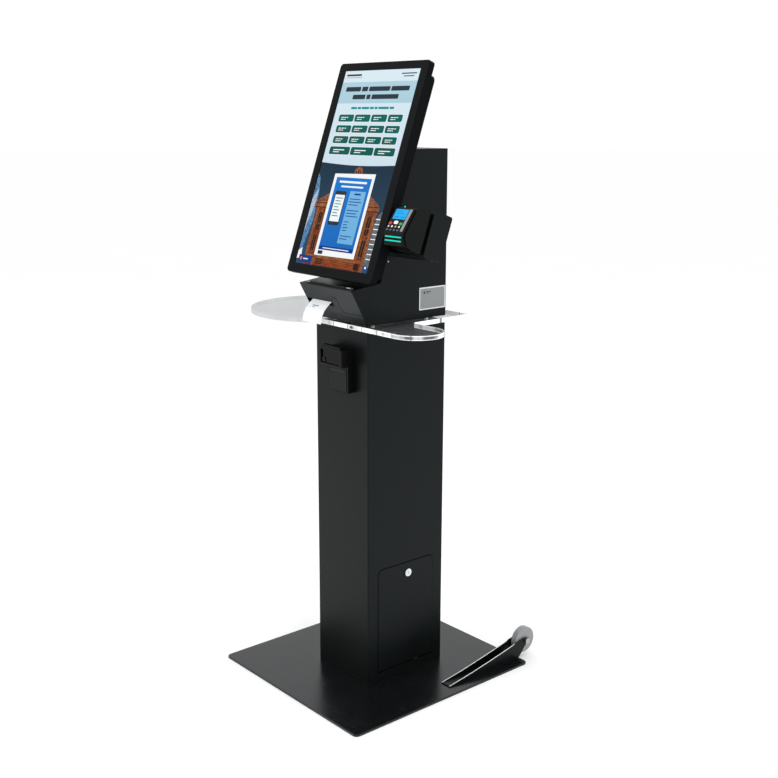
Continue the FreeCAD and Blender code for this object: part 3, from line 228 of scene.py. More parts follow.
def shelf_material():
    """Clear cast sheet: faces let the floor show through; the sawn and polished edges carry a painted highlight and
    painted dark runs.
    """
    n = Net("clear_shelf")
    here = n.place()
    x, y, z = n.split(here)
    g = n.node("ShaderNodeNewGeometry")
    nz = n.math("ABSOLUTE", n.split(g.outputs["Normal"])[2])
    edge = n.ranged(nz, 0.35, 0.65, 1.0, 0.0)
    haze = n.noise(here, 5.0, 4.0, 0.6)
    fine = n.noise(here, 900.0, 2.0, 0.5)
    # edge: painted highlight in long bright runs, broken by short runs of painted shade for dark refraction and by
    # evenly spaced thin dark lines
    run = n.noise(n.place(scale=(1, 1, 0.1)), 13.0, 2.0, 0.5)
    front = n.ranged(y, -0.10, -0.06, 1.0, 0.0)
    ledge = n.math("MULTIPLY", n.ranged(x, 0.12, 0.20, 0.0, 1.0), n.ranged(y, 0.0, 0.01, 1.0, 0.0))
    # painted shade: short dark runs along the front edge
    dark = n.math("MULTIPLY", n.ranged(run, 0.40, 0.47, 1.0, 0.0), front)
    mid = n.ranged(n.math("ABSOLUTE", n.math("SUBTRACT", z, 1.0092)), 0.0034, 0.0042, 1.0, 0.15)
    step = n.math("FRACT", n.math("MULTIPLY", n.math("ADD", x, n.math("MULTIPLY", y, 0.35)), 17.0))
    line = n.math("MULTIPLY", n.math("LESS_THAN", step, 0.05), 0.8)
    refraction_shade_and_lines = n.math("MAXIMUM", n.math("MULTIPLY", dark, mid), line)
    # painted shade: the edge darkens towards the front and at the right ledge tip
    body_z = n.ranged(n.math("ABSOLUTE", n.math("SUBTRACT", z, 1.0092)), 0.0028, 0.0046, 1.0, 0.25)
    tip = n.ranged(n.noise(n.place(scale=(1, 1, 0.1)), 22.0, 2.0, 0.5), 0.42, 0.58, 0.95, 0.35)
    shade = n.math("MAXIMUM", n.math("MULTIPLY", n.ranged(run, 0.47, 0.6, 0.35, 0.0), front), n.math("MULTIPLY", n.math("MULTIPLY", ledge, tip), body_z))
    edge_glint_and_shade = n.mix(n.math("MAXIMUM", refraction_shade_and_lines, shade), (0.90, 0.91, 0.91, 1.0), (0.03, 0.034, 0.038, 1.0))
    rough = n.ranged(fine, 0.3, 0.7, 0.05, 0.10)
    face = n.node("ShaderNodeBsdfPrincipled")
    n.link(n.mix(haze, (0.50, 0.51, 0.52, 1.0), (0.58, 0.59, 0.60, 1.0)), face.inputs["Base Color"])
    n.link(rough, face.inputs["Roughness"])
    clear = n.node("ShaderNodeBsdfTransparent")
    n.link(n.mix(haze, (0.76, 0.77, 0.775, 1.0), (0.81, 0.82, 0.825, 1.0)), clear.inputs["Color"])
    sheet = n.node("ShaderNodeMixShader")
    sheet.inputs[0].default_value = 0.10
    n.link(clear.outputs[0], sheet.inputs[1])
    n.link(face.outputs[0], sheet.inputs[2])
    # painted highlight: the edge colour drives both base colour and emission, with less of it towards the left
    rim = n.node("ShaderNodeBsdfPrincipled")
    n.link(edge_glint_and_shade, rim.inputs["Base Color"])
    n.link(edge_glint_and_shade, rim.inputs["Emission Color"])
    rim.inputs["Emission Strength"].default_value = 0.35
    n.link(rough, rim.inputs["Roughness"])
    both = n.node("ShaderNodeMixShader")
    n.link(n.math("MULTIPLY", edge, n.ranged(x, -0.10, -0.06, 0.12, 1.0)), both.inputs[0])
    n.link(sheet.outputs[0], both.inputs[1])
    n.link(rim.outputs[0], both.inputs[2])
    n.link(both.outputs[0], n.out.inputs["Surface"])
    return n.mat


def roll_material():
    """White wound paper: fine rings on the ends."""
    n = Net("receipt_roll")
    here = n.place()
    x, y, z = n.split(here)
    dy = n.math("ADD", y, 0.044)
    dz = n.math("SUBTRACT", z, 1.060)
    r = n.math("SQRT", n.math("ADD", n.math("MULTIPLY", dy, dy), n.math("MULTIPLY", dz, dz)))
    ring = n.math("FRACT", n.math("MULTIPLY", r, 1400.0))
    tone = n.mix(n.math("MULTIPLY", ring, 0.5), (0.86, 0.87, 0.88, 1.0), (0.62, 0.63, 0.64, 1.0))
    n.surface(Base_Color=tone, Roughness=n.ranged(n.noise(here, 300.0), 0.3, 0.7, 0.7, 0.85), Normal=n.bump(ring, 0.1, 0.0002))
    return n.mat


def screen_part(name, low, high, z0=0.9, z1=1.7, strength=1.0, grain=0.03):
    """Lit picture area: colour runs from low to high up the screen, with a faint pixel grid."""
    n = Net(name)
    here = n.place()
    z = n.split(here)[2]
    up = n.ranged(z, z0, z1, 0.0, 1.0)
    base = n.mix(up, (*lin(low), 1.0), (*lin(high), 1.0))
    dots = n.noise(here, 700.0, 1.0, 0.5)
    soft = n.noise(here, 26.0, 3.0, 0.5)
    base = n.mix(n.math("MULTIPLY", n.math("ADD", dots, soft), grain), base, (0.0, 0.0, 0.0, 1.0))
    n.surface(Base_Color=(0.004, 0.004, 0.004, 1.0), Roughness=n.ranged(dots, 0.3, 0.7, 0.10, 0.14), Emission_Color=base,
              Emission_Strength=strength, Specular_IOR_Level=0.02)
    return n.mat


def brick_part(name, a, b, mortar, scale=120.0, strength=1.0):
    """Lit picture of coursed masonry."""
    n = Net(name)
    t = math.radians(19.6)
    vec = n.place(rot=(-(math.pi / 2 - t), 0, 0))
    k = n.node("ShaderNodeTexBrick")
    k.inputs["Color1"].default_value = (*lin(a), 1.0)
    k.inputs["Color2"].default_value = (*lin(b), 1.0)
    k.inputs["Mortar"].default_value = (*lin(mortar), 1.0)
    k.inputs["Scale"].default_value = scale
    k.inputs["Mortar Size"].default_value = 0.03
    n.link(vec, k.inputs["Vector"])
    soft = n.noise(vec, 40.0, 5.0, 0.65)
    base = n.mix(n.ranged(soft, 0.35, 0.7, 0.0, 0.6), k.outputs["Color"], (*lin(mortar), 1.0))
    n.surface(Base_Color=(0.004, 0.004, 0.004, 1.0), Roughness=n.ranged(soft, 0.3, 0.7, 0.10, 0.14), Emission_Color=base,
              Emission_Strength=strength, Specular_IOR_Level=0.02)
    return n.mat


M["wheel_plastic"] = wheel_material()
M["clear_shelf"] = shelf_material()
M["receipt_roll"] = roll_material()
M["ui_pale"] = screen_part("ui_pale", "#cfe3f0", "#dff0f8", 1.4, 1.7)
M["ui_band"] = screen_part("ui_band", "#a9cddd", "#b9d8e4", 1.5, 1.7)
M["ui_teal"] = screen_part("ui_teal", "#04574f", "#076b63", 1.4, 1.6)
M["ui_line"] = screen_part("ui_line", "#138f92", "#138f92")
M["ui_white"] = screen_part("ui_white", "#f4f7f8", "#fbfcfd")
M["ui_ink"] = screen_part("ui_ink", "#24313b", "#2d3b45")
M["ui_orange"] = screen_part("ui_orange", "#d9743a", "#d9743a")
M["ui_sky"] = screen_part("ui_sky", "#31536c", "#1d3549", 1.15, 1.42, grain=0.12)
M["ui_blue"] = screen_part("ui_blue", "#1668bd", "#1d7ad0", 1.2, 1.4)
M["ui_column"] = screen_part("ui_column", "#6cb0e0", "#7dbbe6", 1.2, 1.4)
M["ui_navy"] = screen_part("ui_navy", "#0b3a86", "#0d3f92")
M["ui_glasswork"] = brick_part("ui_glasswork", "#2f7fc4", "#9cc7e6", "#173a63", 150.0)
M["ui_brick"] = brick_part("ui_brick", "#a8431a", "#7e300f", "#4a1f0c", 150.0)
M["ui_stone"] = brick_part("ui_stone", "#c07a4c", "#9a5730", "#5d321c", 60.0)
M["ui_grey"] = brick_part("ui_grey", "#9aa0a4", "#6d7377", "#3c4145", 110.0)
M["ui_dark"] = screen_part("ui_dark", "#2a1710", "#3a2014", grain=0.1)


# ------------------------------------------------------------ geometry helpers
def rot_x(deg):
    return Matrix.Rotation(math.radians(deg), 4, "X")


MONITOR = Matrix.Translation((0, -0.1607, 1.1597)) @ rot_x(-19.6)
_s = (-0.1765 + 0.123, 1.111 - 1.0155)
FACE_LEN = math.hypot(*_s)
PROW = Matrix.Translation((0, -0.123, 1.0155)) @ rot_x(math.degrees(math.atan2(-_s[0], _s[1])))
FB, FT, CC = (-21.0, 108.6), (-4.2, 172.0), (-12.7, 76.0)
TERM = MONITOR @ Matrix.Translation((0, FB[0] * MM, FB[1] * MM)) @ rot_x(-math.degrees(math.atan2(FT[0] - FB[0], FT[1] - FB[1])))
CHIN = MONITOR @ Matrix.Translation((0, CC[0] * MM, CC[1] * MM)) @ rot_x(math.degrees(math.atan2(CC[0] - FB[0], FB[1] - CC[1])))
SIDE = Matrix(((0, -1, 0, 0), (1, 0, 0, 0), (0, 0, 1, 0), (0, 0, 0, 1)))     # local x -> +Y, local y -> -X, z -> z
BACK = Matrix(((-1, 0, 0, 0), (0, -1, 0, 0), (0, 0, 1, 0), (0, 0, 0, 1)))
FLAT = Matrix.Identity(4)
MATCH = {"scanner_glass": "screen_glass", "scanner_panel": "scanner_plastic", "key_dark": "pad_black", "key_blue": "key_white", "key_pale": "key_white", "key_orange": "key_white", "shell_black_lit": "shell_black", "rim_black": "bezel_plastic", "label_border": "label_plate", "label_mark": "label_plate",
         "pad_silver": "pad_black", "pad_display_dark": "pad_display", "led_green": "pad_light", "port_dark": "shell_black",
         "wheel_hub": "wheel_plastic", "painted_glint_white": "zinc_steel", "receipt_roll": "receipt_paper"}


def rrect(x0, z0, x1, z1, r=0.0, seg=5):
    if r <= 0:
        return [(x0, z0), (x1, z0), (x1, z1), (x0, z1)]
    pts = []
    for cx, cz, a in ((x1 - r, z0 + r, -90), (x1 - r, z1 - r, 0), (x0 + r, z1 - r, 90), (x0 + r, z0 + r, 180)):
        for i in range(seg + 1):
            t = math.radians(a + 90.0 * i / seg)
            pts.append((cx + r * math.cos(t), cz + r * math.sin(t)))
    return pts


def disc(cx, cz, r, seg=24):
    return [(cx + r * math.cos(2 * math.pi * i / seg), cz + r * math.sin(2 * math.pi * i / seg)) for i in range(seg)]


def add_plate(bm, pts, n0, n1, mat):
    """Prism on a polygon in (x, z) mm, between local depths n0 (front) and n1."""
    a = [bm.verts.new(mat @ Vector((x * MM, n0 * MM, z * MM))) for x, z in pts]
    b = [bm.verts.new(mat @ Vector((x * MM, n1 * MM, z * MM))) for x, z in pts]
    bm.faces.new(a)
    bm.faces.new(b[::-1])
    for i in range(len(pts)):
        j = (i + 1) % len(pts)
        bm.faces.new((a[i], b[i], b[j], a[j]))


def make(name, bm, mat, body=ROOT, bevel=0.0, smooth=True):
    bmesh.ops.recalc_face_normals(bm, faces=bm.faces[:])
    me = bpy.data.meshes.new(name)
    bm.to_mesh(me)
    bm.free()
    me.materials.append(M[mat])
    o = bpy.data.objects.new(name, me)
    bpy.context.scene.collection.objects.link(o)
    if bevel:
        soften(o, bevel)
    elif smooth:
        for p in me.polygons:
            p.use_smooth = False
    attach(o, body)
    slot = MATCH.get(mat, mat)
    if slot.startswith("ui_"):
        slot = "screen_glass"
    return o


def plates(name, shapes, n0, n1, mat, where=None, body=ROOT, bevel=0.0):
    bm = bmesh.new()
    for pts in shapes:
        add_plate(bm, pts, n0, n1, where or MONITOR)
    return make(name, bm, mat, body, bevel)


def soften(o, width, segments=2, angle=32.0):
    m = o.modifiers.new("edge", "BEVEL")
    m.width = width
    m.segments = segments
    m.limit_method = "ANGLE"
    m.angle_limit = math.radians(angle)
    m.harden_normals = True
    for p in o.data.polygons:
        p.use_smooth = True


def tube(name, pts, r, mat, body=ROOT, seg=8):
    """Round rod through row-frame points in mm."""
    bm = bmesh.new()
    rings = []
    P = [Vector(p) * MM for p in pts]
    for i, p in enumerate(P):
        d = (P[min(i + 1, len(P) - 1)] - P[max(i - 1, 0)]).normalized()
        u = d.orthogonal().normalized()
        if rings:
            u = (last - d * last.dot(d)).normalized()
        last = u
        w = d.cross(u)
        rings.append([bm.verts.new(p + (u * math.cos(2 * math.pi * k / seg) + w * math.sin(2 * math.pi * k / seg)) * r * MM) for k in range(seg)])
    for a, b in zip(rings, rings[1:]):
        for k in range(seg):
            bm.faces.new((a[k], a[(k + 1) % seg], b[(k + 1) % seg], b[k]))
    bm.faces.new(rings[0][::-1])
    bm.faces.new(rings[-1])
    o = make(name, bm, mat, body)
    for p in o.data.polygons:
        p.use_smooth = len(p.vertices) == 4
    return o


def screws(name, spots, where, body=ROOT, r=3.2, h=1.2, mat="zinc_steel", depth=0.0):
    """Domed heads with a hexagonal socket, their axis along local -y."""
    bm = bmesh.new()
    seg = 20
    for x, z in spots:
        prof = [(r, depth), (r, depth - h * 0.45), (r * 0.82, depth - h * 0.85), (r * 0.55, depth - h)]
        rings = [[bm.verts.new(where @ Vector(((x + q * math.cos(2 * math.pi * k / seg)) * MM, n * MM, (z + q * math.sin(2 * math.pi * k / seg)) * MM)))
                  for k in range(seg)] for q, n in prof]
        hexa = [bm.verts.new(where @ Vector(((x + r * 0.42 * math.cos(2 * math.pi * (k * 6 // seg) / 6)) * MM, (depth - h) * MM,
                                             (z + r * 0.42 * math.sin(2 * math.pi * (k * 6 // seg) / 6)) * MM))) for k in range(seg)]
        deep = [bm.verts.new(where @ Vector(((x + r * 0.40 * math.cos(2 * math.pi * (k * 6 // seg) / 6)) * MM, (depth - h * 0.2) * MM,
                                             (z + r * 0.40 * math.sin(2 * math.pi * (k * 6 // seg) / 6)) * MM))) for k in range(seg)]
        rings += [hexa, deep]
        for a, b in zip(rings, rings[1:]):
            for k in range(seg):
                bm.faces.new((a[k], a[(k + 1) % seg], b[(k + 1) % seg], b[k]))
        bm.faces.new(rings[0][::-1])
        bm.faces.new(deep)
    bmesh.ops.remove_doubles(bm, verts=bm.verts[:], dist=1e-6)
    return make(name, bm, mat, body)


# ------------------------------------------------------------ finishes and soft edges on the frame's nodes
slots = {s["node"]: s["material_slot"] for s in frame["record"]["subparts"]}
LOOK = {**{"key_%s_%d" % (r, i): "key_dark" for r in ("upper", "lower") for i in (1, 2, 3, 4)}, "scanner_cradle": "scanner_plastic", "prow_lower_panel": "shell_black_lit", "printer_cover": "shell_black_lit", "paper_roll": "receipt_roll", "scanner_window": "scanner_glass",
        "touch_glass": "rim_black"}
EDGE = {"base_plate": 0.0009, "column_shell": 0.0005, "head_shell": 0.0007, "shelf_panel": 0.0012, "prow_lower_panel": 0.0005, "printer_cover": 0.0005,
        "access_door": 0.0004, "head_rear_door": 0.0004, "monitor_bezel": 0.0006, "monitor_rear_housing": 0.0012, "pinpad_bracket": 0.0010,
        "pinpad_housing": 0.0012, "pinpad_terminal": 0.0006, "scanner_cradle": 0.0008, "scanner_head": 0.0008, "wheel_carrier_right": 0.0004,
        "wheel_carrier_left": 0.0004, "wheel_right": 0.0012, "wheel_left": 0.0012, "rating_plate": 0.0003, "access_lock_body": 0.0006,
        "rear_lock_body": 0.0006, "access_lock_plug": 0.0003, "rear_lock_plug": 0.0003, "mini_pc": 0.0012, "power_supply": 0.0008,
        "cable_grommet": 0.0004, "pinpad_card_lights": 0.0004, "pinpad_display": 0.0003, "paper_roll": 0.0004, "wheel_axle_right": 0.0004,
        "wheel_axle_left": 0.0004, "column_foot_bolts": 0.0004, "shelf_bolts": 0.0004, "print_head": 0.0006, "screen_bracket": 0.0006}
for name, o in NODES.items():
    o.data.materials.clear()
    o.data.materials.append(M[LOOK.get(name, slots[name])])
    for p in o.data.polygons:
        p.material_index = 0
    w = EDGE.get(name, 0.0004 if not name.startswith("key_") else 0.0005)
    soften(o, w)

# ------------------------------------------------------------ picture on the screen (generic, no lettering)
W = 149.4


def words(x0, z0, z1, *runs, gap=4.0, r=1.0):
    """Row of plain bars with gaps, standing for a line of copy."""
    out, x = [], x0
    for w in runs:
        out.append(rrect(x, z0, x + w, z1, r))
        x += w + gap
    return out


def layer(k):
    return 1.15 - 0.06 * k, 1.19 - 0.06 * k


def ui(name, shapes, k, mat):
    a, b = layer(k)
    return plates("ui_" + name, shapes, a, b, mat)


ui("upper_field", [rrect(-W, 279.0, W, 531.4)], 0, "ui_pale")
arc = [(-W, 279.0)] + [(-W + 2 * W * i / 24, 279.0 - 5.0 * math.sin(math.pi * i / 24)) for i in range(1, 24)] + [(W, 279.0)]
ui("upper_curve", [arc[::-1]], 2, "ui_pale")
ui("title_band", [rrect(-W, 442.0, W, 500.0)], 1, "ui_band")
ui("title_bars", words(-128, 474.5, 487.0, 62, 24, 84, 70, gap=5.0, r=2.4) + words(-92, 453.0, 465.5, 52, 16, 106, gap=5.0, r=2.4), 2, "ui_ink")
ui("prompt_bar", words(-86, 426.0, 432.0, 24, 14, 30, 16, 12, 42, 17, gap=3.0, r=1.4), 2, "ui_line")
ui("head_bars", [rrect(-140, 517.0, -78, 522.0, 1.0), rrect(82, 518.5, 140, 521.5, 0.8), rrect(92, 511.5, 132, 514.0, 0.8)], 2, "ui_ink")
ui("head_accent", [rrect(-140, 511.8, -74, 513.4, 0.6)], 2, "ui_orange")
buttons, rims, ticks = [], [], []
for row in range(3):
    hi = 411.5 - 29.6 * row
    lo = hi - 19.8
    for x0, x1 in ((-127.5, -64.5), (-62.0 + 1.5, 3.0), (7.5, 69.5), (74.5, 130.0)):
        buttons.append(rrect(x0, lo, x1, hi, 5.0))
        rims.append(rrect(x0 - 1.2, lo - 1.2, x1 + 1.2, hi + 1.2, 6.0))
        ticks.extend(words(x0 + 10, lo + 10.8, lo + 12.9, 11, 8 + 3 * (row % 2), 7, gap=1.6, r=0.5))
        ticks.extend(words(x0 + 10, lo + 5.6, lo + 7.6, 12 + 2 * row, 6, gap=1.6, r=0.5))
for x0, x1 in ((-131.0, -45.5), (-42.0, 50.5), (54.5, 135.0)):
    buttons.append(rrect(x0, 302.0, x1, 323.5, 5.0))
    rims.append(rrect(x0 - 1.2, 300.8, x1 + 1.2, 324.7, 6.0))
    ticks.append(rrect(x0 + 16, 313.5, x0 + 62, 316.0, 0.6))
    ticks.append(rrect(x0 + 16, 307.8, x0 + 42, 310.0, 0.6))
ui("button_rims", rims, 1, "ui_white")
ui("buttons", buttons, 2, "ui_teal")
ui("button_ticks", ticks, 3, "ui_white")
ui("sky", [rrect(-W, 0.2, W, 279.0)], 0, "ui_sky")
ui("left_tower", [[(-W, 30), (-136, 44), (-122, 120), (-126, 190), (-138, 236), (-W, 250)]], 1, "ui_glasswork")
ui("left_lane", [[(-W, 12), (-132, 16), (-136, 44), (-W, 34)]], 2, "ui_white")
ui("right_tower", [[(128, 18), (W, 14), (W, 160), (138, 150), (130, 120)]], 1, "ui_grey")
ui("brick_body", [[(-118, 0.3), (122, 0.3), (122, 160), (-118, 160)], [(-104, 160), (110, 160), (88, 196), (-80, 196)]], 2, "ui_brick")
cup = [(-6, 238), (36, 238), (36, 244), (31, 246), (31, 262), (26, 268), (15, 272), (4, 268), (-1, 262), (-1, 246), (-6, 244)]
ui("cupola", [cup, rrect(-24, 226, 54, 239, 1.0)], 3, "ui_stone")
ui("cupola_arches", [rrect(4, 247, 9, 260, 2.4), rrect(12.5, 247, 17.5, 262, 2.4), rrect(21, 247, 26, 260, 2.4)], 4, "ui_dark")
ui("cornices", [rrect(-132, 158, -66, 168, 1.0), rrect(-128, 170, -70, 175, 1.0), rrect(74, 158, 134, 168, 1.0), rrect(76, 170, 130, 175, 1.0),
                [(-122, 176), (-74, 176), (-74, 200)], [(82, 200), (82, 176), (126, 176)], rrect(-118, 0.4, -108, 158), rrect(126 - 8, 0.4, 128, 158),
                rrect(-82, 0.4, -76, 158), rrect(90, 0.4, 96, 158), rrect(-112, 22, 122, 29)], 3, "ui_stone")
ui("arch_rims", [rrect(-105.4, 90, -85.6, 149, 9.8), rrect(-105.4, 36, -85.6, 84, 4.0), rrect(96.6, 90, 117.4, 149, 9.8), rrect(96.6, 36, 117.4, 84, 4.0)], 3, "ui_stone")
ui("cornice_shadow", [rrect(-130, 155.5, -68, 158.2), rrect(76, 155.5, 132, 158.2), rrect(-126, 167.8, -72, 170.0), rrect(78, 167.8, 128, 170.0), rrect(-24, 224, 54, 226.4)], 4, "ui_dark")
ui("steps", [rrect(-76, 20.5 - 4.2 * i, 88, 21.7 - 4.2 * i) for i in range(5)], 4, "ui_stone")
ui("cornice_teeth", [rrect(x, 150.6, x + 2.6, 155.4) for x in range(-126, -70, 6)] + [rrect(x, 150.6, x + 2.6, 155.4) for x in range(80, 130, 6)], 4, "ui_stone")
ui("roof_rails", [rrect(-148 + 2.2 * i, 92 + 9 * i, -147.2 + 2.2 * i, 180 + 4 * i) for i in range(8)], 3, "ui_white")
ui("grey_floors", [rrect(131, 34 + 13 * i, 149, 36.4 + 13 * i) for i in range(9)], 3, "ui_white")
ui("windows", [rrect(-103, 92, -88, 146, 7.4), rrect(-103, 38, -88, 82, 3.0), rrect(99, 92, 115, 146, 7.4), rrect(99, 38, 115, 82, 3.0),
               rrect(-66, 3, -40, 20, 2), rrect(92, 3, 112, 20, 2)], 4, "ui_dark")
ui("window_bars", [rrect(-96.3, 38, -94.9, 146), rrect(106.2, 38, 107.6, 146), rrect(-103, 112, -88, 113.4), rrect(99, 112, 115, 113.4)], 5, "ui_stone")
ui("poster", [[(-79, 28), (86.5, 30), (86.5, 254), (-79, 250)]], 6, "ui_white")
ui("poster_field", [rrect(-67.5, 53, 76, 241)], 7, "ui_blue")
ui("poster_head", [rrect(-52, 226.5, 60, 232.0, 1.5), rrect(-40, 214.5, 50, 219.0, 1.2)], 8, "ui_white")
ui("poster_column", [rrect(3, 66, 66, 206, 1.5)], 8, "ui_column")
bars = [rrect(22, 196, 48, 200.5, 1.0)]
for i, wd in enumerate((44, 50, 38, 0, 48, 42, 50, 0, 20, 16, 22, 18, 0, 46, 30)):
    if wd:
        bars.append(rrect(8, 184 - 7.6 * i, 8 + wd, 186.2 - 7.6 * i, 0.8))
ui("poster_lines", bars, 9, "ui_navy")
ui("handset", [rrect(-57, 112, -11, 204, 6.0)], 8, "ui_ink")
ui("handset_screen", [rrect(-53.5, 122, -14.5, 194, 1.0)], 9, "ui_white")
ui("handset_lines", [rrect(-48, 184 - 8 * i, -48 + w, 186.5 - 8 * i, 0.8) for i, w in enumerate((28, 22, 26, 18, 24, 20, 26))], 10, "ui_line")
ui("poster_foot", [rrect(-67.5, 44, 76, 55.0)], 8, "ui_navy")
ui("poster_foot_bars", [rrect(-50, 48.3, 58, 50.6, 0.8)], 9, "ui_white")
ui("poster_blocks", [rrect(-66, 32, -46, 41.5, 0.5)], 8, "ui_ink")
ui("corner_box", [rrect(-140, 4, -84, 24, 1.0)], 6, "ui_navy")
ui("corner_mark", [disc(-130, 14, 5.0), ], 7, "ui_orange")
ui("corner_bars", [rrect(-120, 12.4, -100, 15.4, 0.8)], 7, "ui_white")
ui("right_mark", [disc(139.5, 13, 7.0)], 6, "ui_navy")
ui("right_mark_in", [disc(139.5, 13, 3.4)], 7, "ui_white")
# thin black rim between the lit area and the bezel
rim_bm = bmesh.new()
for pts in (rrect(-150.6, -1.1, -W, 532.6), rrect(W, -1.1, 150.6, 532.6), rrect(-W, -1.1, W, 0.2), rrect(-W, 531.4, W, 532.6)):
    add_plate(rim_bm, pts, 1.02, 1.19, MONITOR)
make("screen_rim", rim_bm, "rim_black")

# ------------------------------------------------------------ monitor trim
screws("monitor_rear_screws", [(sx * 168.0, w) for sx in (-1, 1) for w in (20.0, 190.0, 360.0, 520.0)],
       MONITOR @ Matrix.Translation((0, 0.0170, 0)) @ Matrix.Rotation(math.pi, 4, "Z"), r=3.0, h=1.2)
screws("bracket_screws", [(sx * 50.0, 263.0 + sz * 50.0) for sx in (-1, 1) for sz in (-1, 1)],
       MONITOR @ Matrix.Translation((0, 0.0560, 0)) @ Matrix.Rotation(math.pi, 4, "Z"), r=3.4, h=2.0)
plates("monitor_ports", [rrect(-60 + 17 * i, 7.5, -47 + 17 * i, 13.0, 1.0) for i in range(4)], -53.25, -52.9, "port_dark",
       MONITOR @ Matrix.Rotation(math.pi, 4, "Z"))

# ------------------------------------------------------------ PIN pad trim
plates("pad_side_strip", [[(255.6, 2.5), (264.6, 2.5), (265.6, 64.0), (255.6, 64.0)]], -0.5, 0.0, "pad_silver", TERM, bevel=0.0003)
plates("pad_display_frame", [rrect(205.1, 34.4, 253.4, 35.4), rrect(205.1, 63.4, 253.4, 64.4), rrect(205.1, 35.4, 206.1, 63.4), rrect(252.4, 35.4, 253.4, 63.4)],
       0.35, 0.6, "pad_black", TERM)
plates("pad_display_rows", [rrect(212, 56, 232, 58, 0.5), rrect(212, 50, 240, 52, 0.5), rrect(212, 40, 226, 43, 0.8), rrect(233, 40, 247, 43, 0.8)],
       0.45, 0.6, "pad_display_dark", TERM)
plates("pad_led_post", [rrect(219.5, 174.5, 226.5, 182.0, 1.6)], 4.8, 11.0, "pad_housing", MONITOR, bevel=0.0005)
plates("pad_led", [disc(223.0, 178.6, 1.9)], 4.2, 4.9, "led_green", MONITOR)
plates("pad_seam", [rrect(202.6, 31.2, 255.0, 31.7)], -0.06, 0.0, "port_dark", TERM)
for row, v in (("upper", 13.2), ("lower", 3.9)):
    for i, x in enumerate((209.2, 222.0, 234.8, 247.6)):
        tint = ("key_pale", "key_white", "key_orange", "key_white")[i] if row == "upper" else "key_blue"
        spot = disc(x, v, 2.6) if row == "upper" else rrect(x - 2.4, v - 0.9, x + 2.4, v + 0.9, 0.6)
        plates("key_%s_%d_spot" % (row, i + 1), [spot], -1.78, -1.6, tint, TERM, body="key_%s_%d_cap" % (row, i + 1))

# ------------------------------------------------------------ rating plate: raised border and a generic mark
RP = Matrix(((0, -1, 0, 0.1110), (1, 0, 0, 0), (0, 0, 1, 0), (0, 0, 0, 1)))
plates("plate_border", [rrect(55.4, 1038.4, 149.6, 1041.4), rrect(55.4, 1095.6, 149.6, 1098.6), rrect(55.4, 1041.4, 58.2, 1095.6), rrect(146.8, 1041.4, 149.6, 1095.6)],
       -0.45, 0.0, "label_border", RP, bevel=0.0002)
plates("plate_mark", [rrect(70.0, 1081.0, 77.0, 1088.0, 3.4), rrect(80.0, 1085.6, 98.0, 1087.6, 0.8), rrect(80.0, 1081.6, 92.0, 1083.4, 0.8)], -0.12, 0.0, "label_mark", RP)
screws("plate_rivets", [(61.6, 1044.6), (143.4, 1044.6), (61.6, 1092.4), (143.4, 1092.4)], RP, r=1.6, h=0.7)

# ------------------------------------------------------------ locks: dark keyway; scanner cradle front panel and slot
plates("access_lock_keyhole", [rrect(21.3, 298.2, 22.7, 305.8, 0.6)], -0.03, 0.05, "port_dark", RP @ Matrix.Translation((0, -0.0026, 0)), body="access_lock")
plates("cradle_panel", [rrect(-27.0, 833.0, 47.5, 895.0, 3.0)], -144.2, -143.0, "scanner_panel", FLAT, bevel=0.0004)
plates("cradle_slot", [rrect(-18.0, 884.0, 36.0, 887.5, 1.0)], -144.35, -144.1, "port_dark", FLAT)
# ------------------------------------------------------------ printer trim
plates("receipt_print", [rrect(-62.0, 3.0, -38.0, 5.0, 0.4), rrect(-62.0, -1.0, -48.0, 0.2, 0.3)], -0.2, 0.0, "label_mark",
       Matrix.Translation((0, -0.1708, 1.0522)) @ rot_x(-45.5) @ Matrix.Translation((0, -0.0003, 0)))
plates("slot_lip", [rrect(-106.6, 60.7, 1.2, 62.4, 0.5)], -0.5, 1.8, "shell_black", PROW, body="cover", bevel=0.0002)
plates("tear_teeth", [[(-86.0 + 2 * i, 61.0), (-84.0 + 2 * i, 61.0), (-85.0 + 2 * i, 60.3)] for i in range(42)], 0.2, 0.6, "bare_steel", PROW, body="cover")
screws("printer_frame_screws", [(-100.0, 1030.0), (-60.0, 1030.0), (-20.0, 1085.0), (-90.0, 1085.0)],
       Matrix(((0, -1, 0, 0.0050), (1, 0, 0, 0), (0, 0, 1, 0), (0, 0, 0, 1))), r=2.4, h=1.0)

# ------------------------------------------------------------ head side fixings
HS = Matrix(((0, -1, 0, 0.1100), (1, 0, 0, 0), (0, 0, 1, 0), (0, 0, 0, 1)))
# the screw head is coloured with the near-white painted highlight
screws("head_side_screws", [(-53.5, 1177.5)], HS, r=2.1, h=0.9, mat="painted_glint_white")

# ------------------------------------------------------------ rear door louvres
bm = bmesh.new()
for i in range(9):
    z = 1330.0 + 11.0 * i
    prof = [(0.0, z), (3.4, z - 1.0), (3.4, z - 2.0), (0.0, z - 7.5)]
    a = [bm.verts.new(Vector((-70 * MM, (152.45 + p) * MM, q * MM))) for p, q in prof]
    b = [bm.verts.new(Vector((70 * MM, (152.45 + p) * MM, q * MM))) for p, q in prof]
    bm.faces.new(a)
    bm.faces.new(b[::-1])
    for k in range(4):
        bm.faces.new((a[k], b[k], b[(k + 1) % 4], a[(k + 1) % 4]))
make("rear_louvres", bm, "shell_black", "rear_door", bevel=0.0005)

